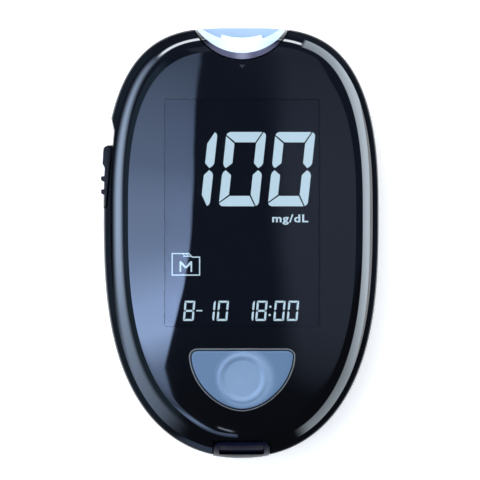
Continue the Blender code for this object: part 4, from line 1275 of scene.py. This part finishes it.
def fit_to(bm, low_x, low_y, high_x, high_y):
    """Stretch a flat mesh to a box on the display."""
    wide = max(v.co.x for v in bm.verts)
    tall = max(v.co.y for v in bm.verts)
    bmesh.ops.scale(bm, vec=((high_x - low_x) / wide, (high_y - low_y) / tall, 1), verts=bm.verts)
    bmesh.ops.translate(bm, vec=(low_x, low_y, figure_level), verts=bm.verts)
    return bm


pixel_size = 0.214 * mm


def photo_x(pixel):
    """Where a column of the photograph lies on the meter."""
    return (pixel - 240.75) * pixel_size


def photo_y(pixel):
    return (242.5 - pixel) * pixel_size


def show_lit(bm, name):
    show(solid(bm), name, lit_segment, "housing", "display_glass")


def make_display():
    big = bmesh.new()
    bottom = photo_y(206.4)
    height = photo_y(132.6) - bottom
    for pixel, bars in ((169.4, "bc"), (217.9, "abcdef"), (266.6, "abcdef")):
        seven_segments(
            big, photo_x(pixel), bottom, 8.47 * mm, height, 1.93 * mm, 2.2 * mm, 0.28 * mm, 0.107, bars
        )
    show_lit(big, "reading_figures")
    small = bmesh.new()
    low = photo_y(320.4)
    tall = photo_y(300.4) - low
    for pixel, bars in (
        (182.4, "abcdefg"), (202.7, "bc"), (215.8, "abcdef"), (241.6, "bc"), (254.2, "abcdefg"),
        (272.1, "abcdef"), (285.5, "abcdef"),
    ):
        seven_segments(
            small, photo_x(pixel), low, 2.27 * mm, tall, 0.43 * mm, 0.41 * mm, 0.13 * mm, 0.093, bars
        )
    dash_y = photo_y(310.6)
    stroke(small, (photo_x(195.7), dash_y), (photo_x(201.7), dash_y), 0.42 * mm)
    dot = 0.24 * mm
    for x, y in ((269.3, 306.4), (268.6, 314.6)):
        angles = [math.tau * step / 16 for step in range(16)]
        draw(small, [(photo_x(x) + dot * math.cos(a), photo_y(y) + dot * math.sin(a)) for a in angles])
    show_lit(small, "date_and_time_figures")
    unit = lettering("mg/dL", 3 * mm, 0.07 * mm)
    show_lit(fit_to(unit, photo_x(271.1), photo_y(224.8), photo_x(306.9), photo_y(214.5)), "unit_letters")

    # A folder with three index tabs, as one thin line
    line = 0.24 * mm
    left, right = photo_x(171.3), photo_x(199.6)
    low, high, top = photo_y(275.4), photo_y(256.4), photo_y(252.9)
    tab, slant = photo_x(188.6), 0.68 * mm

    def folder(inset, more):
        plan = [
            (left + inset, low + inset), (right - inset, low + inset), (right - inset, high - inset),
            (tab + slant - 0.3 * inset, high - inset), (tab - 0.4 * inset, top - inset),
            (left + inset, top - inset),
        ]
        return slab(plan, figure_level - more, figure_level + figure_rise + more)

    outline = solid(folder(0.0, 0.0))
    cut(outline, folder(line, figure_rise))
    show(outline, "memory_mark_frame", lit_segment, "housing", "display_glass")
    tabs = bmesh.new()
    thin = 0.8 * line
    for number in (1, 2):
        x = tab - number * 0.72 * mm
        stroke(tabs, (x, top - line / 2), (x + slant, high), thin)
    stroke(tabs, (tab - 1.3 * mm, high), (tab + slant, high), thin)
    show_lit(tabs, "memory_mark_tabs")
    low, high = photo_y(271.7), photo_y(261.2)
    left, right = photo_x(179.2), photo_x(191.6)
    middle, foot = (left + right) / 2, low + 0.3 * (high - low)
    thick = 0.33 * mm
    crotch = high - 2.1 * thick
    letter = bmesh.new()
    draw(letter, [
        (left, low), (left + thick, low), (left + thick, crotch), (middle, foot), (right - thick, crotch),
        (right - thick, low), (right, low), (right, high), (right - 1.1 * thick, high),
        (middle, foot + 1.5 * thick), (left + 1.1 * thick, high), (left, high),
    ])
    show_lit(letter, "memory_mark_letter")


# Screws, cells and contacts

def make_screws():
    low, seat = 5.6, 7.0
    profile = in_mm((
        (0, low), (1.2, low), (1.6, low + 0.08), (1.83, low + 0.3), (1.9, low + 0.6), (1.9, seat - 0.05),
        (1.85, seat), (1, seat), (1, 15.6), (0.2, 16.5), (0, 16.6),
    ))
    arm_corner = Vector((1.15, 0.24, low + 0.75)) * mm
    for letter, (x, y) in zip("acbd", screw_places):
        screw = solid(turned(profile, 40))
        arms = []
        for angle in (45, 135):
            arm = block((-arm_corner.x, -arm_corner.y, (low - 1) * mm), arm_corner)
            turn = Matrix.Rotation(math.radians(angle), 3, "Z")
            bmesh.ops.rotate(arm, cent=(0, 0, 0), matrix=turn, verts=arm.verts)
            arms.append(arm)
        cut(screw, *arms)
        screw.data.transform(Matrix.Translation((x, y, 0)))
        show(screw, "case_screw_fine_" + letter, nickel, "housing", "steel", "case_screw_" + letter)


# The way along Y that each cell's nub points; the one that points to the top end lies on the left
cell_sides = (("a", 1), ("b", -1))
cell_offset = 5.5 * mm


def make_cells():
    """Two cells, each with a crimped jacket, a flat end and a stepped nub."""
    for letter, direction in cell_sides:
        low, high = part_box("battery_cell_" + letter)
        end = (high.y - low.y) / mm
        r = 5.25
        profile = in_mm((
            (0, 0.15), (4.2, 0.15), (4.3, 0), (4.9, 0), (r - 0.1, 0.12), (r, 0.35), (r, end - 1.7),
            (r - 0.12, end - 1.5), (r - 0.12, end - 1.3), (r, end - 1.15), (r - 0.1, end - 0.9),
            (4.9, end - 0.8), (4.2, end - 0.8), (4.1, end - 0.95), (2.4, end - 0.95), (2.2, end - 0.8),
            (1.9, end - 0.7), (1.9, end - 0.1), (1.75, end), (0, end),
        ))
        cell = turned(profile, 64)
        turn = Matrix.Rotation(math.radians(-90 * direction), 3, "X")
        bmesh.ops.rotate(cell, cent=(0, 0, 0), matrix=turn, verts=cell.verts)
        start = low.y if direction > 0 else high.y
        place = (-direction * cell_offset, start, (low.z + high.z) / 2)
        bmesh.ops.translate(cell, vec=place, verts=cell.verts)
        show(solid(cell), "cell_" + letter, cell_foil, "housing", "cell_jacket", "battery_cell_" + letter)


def make_contact_springs():
    """Conical coils that press on the cells' flat ends."""
    wire = 0.25 * mm
    wide, narrow = 2.8 * mm, 1.9 * mm
    turns = 4
    count = turns * 36 + 1
    for letter, direction in cell_sides:
        low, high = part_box("contact_spring_" + letter)
        start, finish = low.y + wire, high.y - wire
        if direction < 0:
            start, finish = finish, start
        curve = bpy.data.curves.new("coil", "CURVE")
        curve.dimensions = "3D"
        curve.bevel_depth = 0.98 * wire
        curve.bevel_resolution = 3
        curve.use_fill_caps = True
        spline = curve.splines.new("POLY")
        spline.points.add(count - 1)
        for number, point in enumerate(spline.points):
            share = number / (count - 1)
            angle = math.tau * turns * share
            radius = wide + (narrow - wide) * share
            x = math.cos(angle) * radius - direction * cell_offset
            z = (low.z + high.z) / 2 + math.sin(angle) * radius
            point.co = (x, start + (finish - start) * share, z, 1)
        coil = solid(mesh_of(curve))
        show(coil, "cell_coil_" + letter, nickel, "housing", "steel", "contact_spring_" + letter)


def dress_frame_nodes():
    """The CAD nodes whose shapes are right get their real finishes."""
    finishes = {
        nickel: (
            "contact_plate_positive", "contact_plate_negative", "contact_bridge", "cover_hinge_pin",
            "ejector_spring", "data_jack",
        ),
        solder_mask: ("main_board",),
        display_glass: ("lcd_panel",),
        milky: ("light_guide", "port_lamp", "ejector_link"),
        filled_nylon: ("strip_connector", "lcd_frame", "button_switch", "controller_chip"),
        gold_flash: ("strip_contact_left", "strip_contact_middle", "strip_contact_right"),
        silicone: ("lcd_connector",),
        brass: ("buzzer",),
    }
    for material, names in finishes.items():
        for name in names:
            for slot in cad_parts[name].material_slots:
                slot.material = material


# Studio

def light_world():
    """Lamps round the meter, drawn as soft shapes over the directions that its gloss mirrors."""
    world = bpy.data.worlds.new("studio")
    bpy.context.scene.world = world
    world.use_nodes = True
    tree = world.node_tree
    tree.nodes.clear()
    spot = node(tree, "ShaderNodeTexCoord").outputs["Generated"]
    high = node(tree, "ShaderNodeSeparateXYZ", {"Vector": spot}).outputs["Z"]
    up = node(tree, "ShaderNodeMath", {0: high, 1: 0.001}, operation="MAXIMUM").outputs[0]
    lean = node(tree, "ShaderNodeVectorMath", {0: spot, 1: up}, operation="DIVIDE").outputs[0]
    lean = node(tree, "ShaderNodeSeparateXYZ", {"Vector": lean}).outputs
    across, along = lean["X"], lean["Y"]
    flat = node(tree, "ShaderNodeVectorMath", {0: spot, 1: (1, 1, 0)}, operation="MULTIPLY").outputs[0]
    flat = node(tree, "ShaderNodeVectorMath", {0: flat}, operation="NORMALIZE").outputs[0]
    flat = node(tree, "ShaderNodeSeparateXYZ", {"Vector": flat}).outputs
    bearing, heading = flat["X"], flat["Y"]
    lamps = []

    def sloping(start, slope, value, clamp=False):
        """A limit that moves in step with another measure."""
        sockets = {0: value, 1: slope, 2: start}
        return node(tree, "ShaderNodeMath", sockets, operation="MULTIPLY_ADD", use_clamp=clamp).outputs[0]

    def past(value, limit, soft, before=0.0, after=1.0):
        """Eases from one level to another as a value passes a limit, over a softness on either side."""
        over = node(tree, "ShaderNodeMath", {0: value, 1: limit}, operation="SUBTRACT").outputs[0]
        over = node(tree, "ShaderNodeMath", {0: over, 1: soft}, operation="DIVIDE").outputs[0]
        return soft_change(tree, over, -1.0, 1.0, before, after)

    def short_of(value, limit, soft):
        return past(value, limit, soft, 1.0, 0.0)

    def follow(value, points):
        """A level that runs straight between (value, level) points, with rising values."""
        first, last = points[0][0], points[-1][0]
        low = min(level for _, level in points)
        spread = max(level for _, level in points) - low
        share = node(tree, "ShaderNodeMapRange", {"Value": value, "From Min": first, "From Max": last})
        line = node(tree, "ShaderNodeValToRGB", {"Fac": share.outputs["Result"]})
        stops = line.color_ramp.elements
        while len(stops) < len(points):
            stops.new(0.5)
        for stop, (at, level) in zip(stops, points):
            stop.position = (at - first) / (last - first)
        for stop, (at, level) in zip(stops, points):
            stop.color = ((level - low) / spread,) * 3 + (1,)
        return sloping(low, spread, line.outputs["Color"])

    def lamp(colour, strength, *shape):
        """A lamp, whose shape is the product of the given levels."""
        share = shape[0]
        for level in shape[1:]:
            share = node(tree, "ShaderNodeMath", {0: share, 1: level}, operation="MULTIPLY").outputs[0]
        full = tuple(part * strength for part in linear(colour))
        sockets = {"Factor": share, 6: (0, 0, 0, 1), 7: full}
        lamps.append(node(tree, "ShaderNodeMix", sockets, data_type="RGBA").outputs[2])

    above = past(high, 0.02, 0.02)
    leftward = sloping(0.0, -1.0, bearing)
    aside = node(tree, "ShaderNodeMath", {0: bearing}, operation="ABSOLUTE").outputs[0]
    ahead = node(tree, "ShaderNodeMath", {0: along, 1: 0.0}, operation="MAXIMUM").outputs[0]

    # Large soft panel above the left side: its inner edge leans and bends, and its foot turns under
    edge = follow(along, (
        (-0.23, 0.02), (-0.16, -0.105), (-0.12, -0.147), (-0.05, -0.115), (0.0, -0.106), (0.07, -0.087),
        (0.23, -0.01),
    ))
    inner = past(edge, across, follow(along, ((-0.2, 0.004), (0.24, 0.008))))
    fade = follow(along, (
        (-0.24, 0.2), (-0.19, 0.44), (-0.17, 0.1), (-0.12, 0.4), (-0.085, 1.0), (-0.055, 0.92),
        (-0.01, 0.52), (0.04, 0.32), (0.23, 0.15),
    ))
    foot = sloping(-3.36, -4.0, heading, True)
    outer = past(high, sloping(0.935, -0.4, foot), sloping(0.015, 0.16, foot))
    west = {0: past(leftward, -0.2, 0.06), 1: past(high, 0.96, 0.01)}
    west = node(tree, "ShaderNodeMath", west, operation="MAXIMUM").outputs[0]
    lamp("#B2CEFF", 5.46, inner, fade, outer, west, above)

    # Faint grey card above the right side
    fade = follow(along, ((-0.15, 0.0), (-0.12, 0.62), (-0.08, 0.88), (0.03, 1.0), (0.24, 0.6)))
    reach = sloping(-2.2, 4.0, heading, True)
    outer = past(high, sloping(0.86, -0.4, reach), 0.05)
    lamp("#8C98B0", 0.55, past(across, sloping(0.14, -0.33, ahead), 0.045), fade, outer, above)

    # A slit of light low over the face
    slit = sloping(along, 0.407, across)
    low, top = past(slit, -0.195942, 0.0015), short_of(slit, -0.188942, 0.0015)
    lamp("#C8D4E8", 2.6, low, top, past(across, -0.006, 0.003), short_of(across, 0.021, 0.006), above)

    # Dim glow between the left panel and the side light
    lamp("#AADEFF", 0.16, past(high, 0.5, 0.04), short_of(high, 0.93, 0.02), past(leftward, 0.6, 0.1))

    # Soft upright panel on the left, for the edge roll
    low = past(high, sloping(0.1, 0.17, heading), 0.085)
    top = short_of(high, sloping(0.375, -0.15, heading), 0.12)
    fade = follow(heading, ((-0.9, 0.1), (-0.5, 0.4), (-0.16, 0.68), (0.0, 1.0), (0.4, 0.9)))
    lamp("#AFC4E2", 5.7, low, top, fade, past(leftward, 0.6, 0.16))

    # Crisp upright panel on the right, stronger towards its foot
    low, top = past(high, -0.1, 0.03), short_of(high, 0.275, 0.014)
    fade = follow(heading, (
        (-0.8, 0.42), (-0.4, 0.48), (-0.18, 0.76), (0.0, 1.0), (0.5, 0.95), (0.96, 0.6),
    ))
    foot = sloping(0.0, -8.0, heading, True)
    end = past(bearing, sloping(0.36, 0.22, foot), sloping(0.02, 0.06, foot))
    lamp("#CFDCE8", 5.4, low, top, sloping(1.12, -1.2, high), fade, end)

    # Thin strip light beyond the top end
    low = past(high, sloping(0.065, 0.25, aside), 0.014)
    top = short_of(high, sloping(0.135, 0.25, aside), 0.014)
    lamp("#E6EEF5", 8.0, low, top, past(heading, 0.82, 0.05), short_of(bearing, 0.34, 0.02))

    # Weak light from everywhere else, cooler over the upper part
    lamp("#B9C4D8", 0.035, above)
    lamp("#8EB6FF", 0.075, above, past(along, -0.12, 0.06))

    total = lamps[0]
    for more in lamps[1:]:
        sockets = {"Factor": 1.0, 6: total, 7: more}
        total = node(tree, "ShaderNodeMix", sockets, data_type="RGBA", blend_type="ADD").outputs[2]
    light = node(tree, "ShaderNodeBackground", {"Color": total, "Strength": 1.0})
    white = node(tree, "ShaderNodeBackground", {"Color": (1, 1, 1, 1), "Strength": 1.0})
    seen = node(tree, "ShaderNodeLightPath").outputs["Is Camera Ray"]
    both = node(tree, "ShaderNodeMixShader", {0: seen, 1: light.outputs[0], 2: white.outputs[0]})
    node(tree, "ShaderNodeOutputWorld", {"Surface": both.outputs[0]})


def lay_paper():
    """White paper under the meter, which keeps its shadow and looks white to the camera and in gloss."""
    bm = bmesh.new()
    bmesh.ops.create_grid(bm, x_segments=2, y_segments=2, size=1.5)
    bmesh.ops.translate(bm, vec=(0, 0, -hair), verts=bm.verts)
    mesh = bpy.data.meshes.new("floor")
    bm.to_mesh(mesh)
    bm.free()
    floor = bpy.data.objects.new("floor", mesh)
    bpy.context.scene.collection.objects.link(floor)
    paper = bpy.data.materials.new("white_paper_sweep")
    paper.use_nodes = True
    tree = paper.node_tree
    shader = tree.nodes["Principled BSDF"]
    where = node(tree, "ShaderNodeTexCoord").outputs["Object"]
    fibre = node(tree, "ShaderNodeTexNoise", {"Vector": where, "Scale": 0.8 / mm, "Detail": 3.0})
    tone = node(tree, "ShaderNodeValToRGB", {"Fac": fibre.outputs["Fac"]})
    tone.color_ramp.elements[0].color = linear("#FCFAF6")
    tone.color_ramp.elements[1].color = linear("#FFFEFB")
    tree.links.new(tone.outputs["Color"], shader.inputs["Base Color"])
    shader.inputs["Roughness"].default_value = 0.9
    shader.inputs["Specular IOR Level"].default_value = 0.1
    shader.inputs["Emission Color"].default_value = (1, 1, 1, 1)
    rays = node(tree, "ShaderNodeLightPath").outputs
    seen = rays["Is Camera Ray"]
    for kind in ("Is Glossy Ray", "Is Transmission Ray"):
        seen = node(tree, "ShaderNodeMath", {0: seen, 1: rays[kind]}, operation="MAXIMUM").outputs[0]
    lift = node(tree, "ShaderNodeMath", {0: seen, 1: paper_lift}, operation="MULTIPLY").outputs[0]
    tree.links.new(lift, shader.inputs["Emission Strength"])
    mesh.materials.append(paper)


def hang_lamp():
    """Broad even light from above, which diffuse surfaces take and the gloss doesn't mirror."""
    lamp = bpy.data.lights.new("broad_top_light", "SUN")
    lamp.energy = 2.4
    lamp.angle = math.radians(70)
    holder = bpy.data.objects.new("broad_top_light", lamp)
    holder.rotation_euler = Vector((0.42, -0.4, -1.0)).to_track_quat("-Z", "Y").to_euler()
    holder.visible_glossy = False
    holder.visible_transmission = False
    bpy.context.scene.collection.objects.link(holder)


def place_camera():
    """Straight over the face, with a small tilt to the left."""
    camera = bpy.data.objects.new("camera", bpy.data.cameras.new("camera"))
    bpy.context.scene.collection.objects.link(camera)
    distance = 1.2
    half_frame = 240 * pixel_size
    tilt = math.radians(-2.0)
    middle = Vector((-0.16 * mm, 0.535 * mm, 12 * mm))
    back = Vector((math.sin(tilt), 0, math.cos(tilt)))
    up = Vector((0, 1, 0))
    turn = Matrix((up.cross(back), up, back)).transposed().to_4x4()
    camera.matrix_world = Matrix.Translation(middle + back * distance) @ turn
    camera.data.sensor_width = 36
    camera.data.lens = camera.data.sensor_width / 2 * distance / half_frame
    bpy.context.scene.camera = camera


make_face()
make_button()
make_front_case()
make_rear_case()
make_strip_port()
make_slider()
make_flap()
make_display()
make_screws()
make_cells()
make_contact_springs()
dress_frame_nodes()
bpy.context.scene.view_settings.view_transform = "Standard"
light_world()
lay_paper()
hang_lamp()
place_camera()
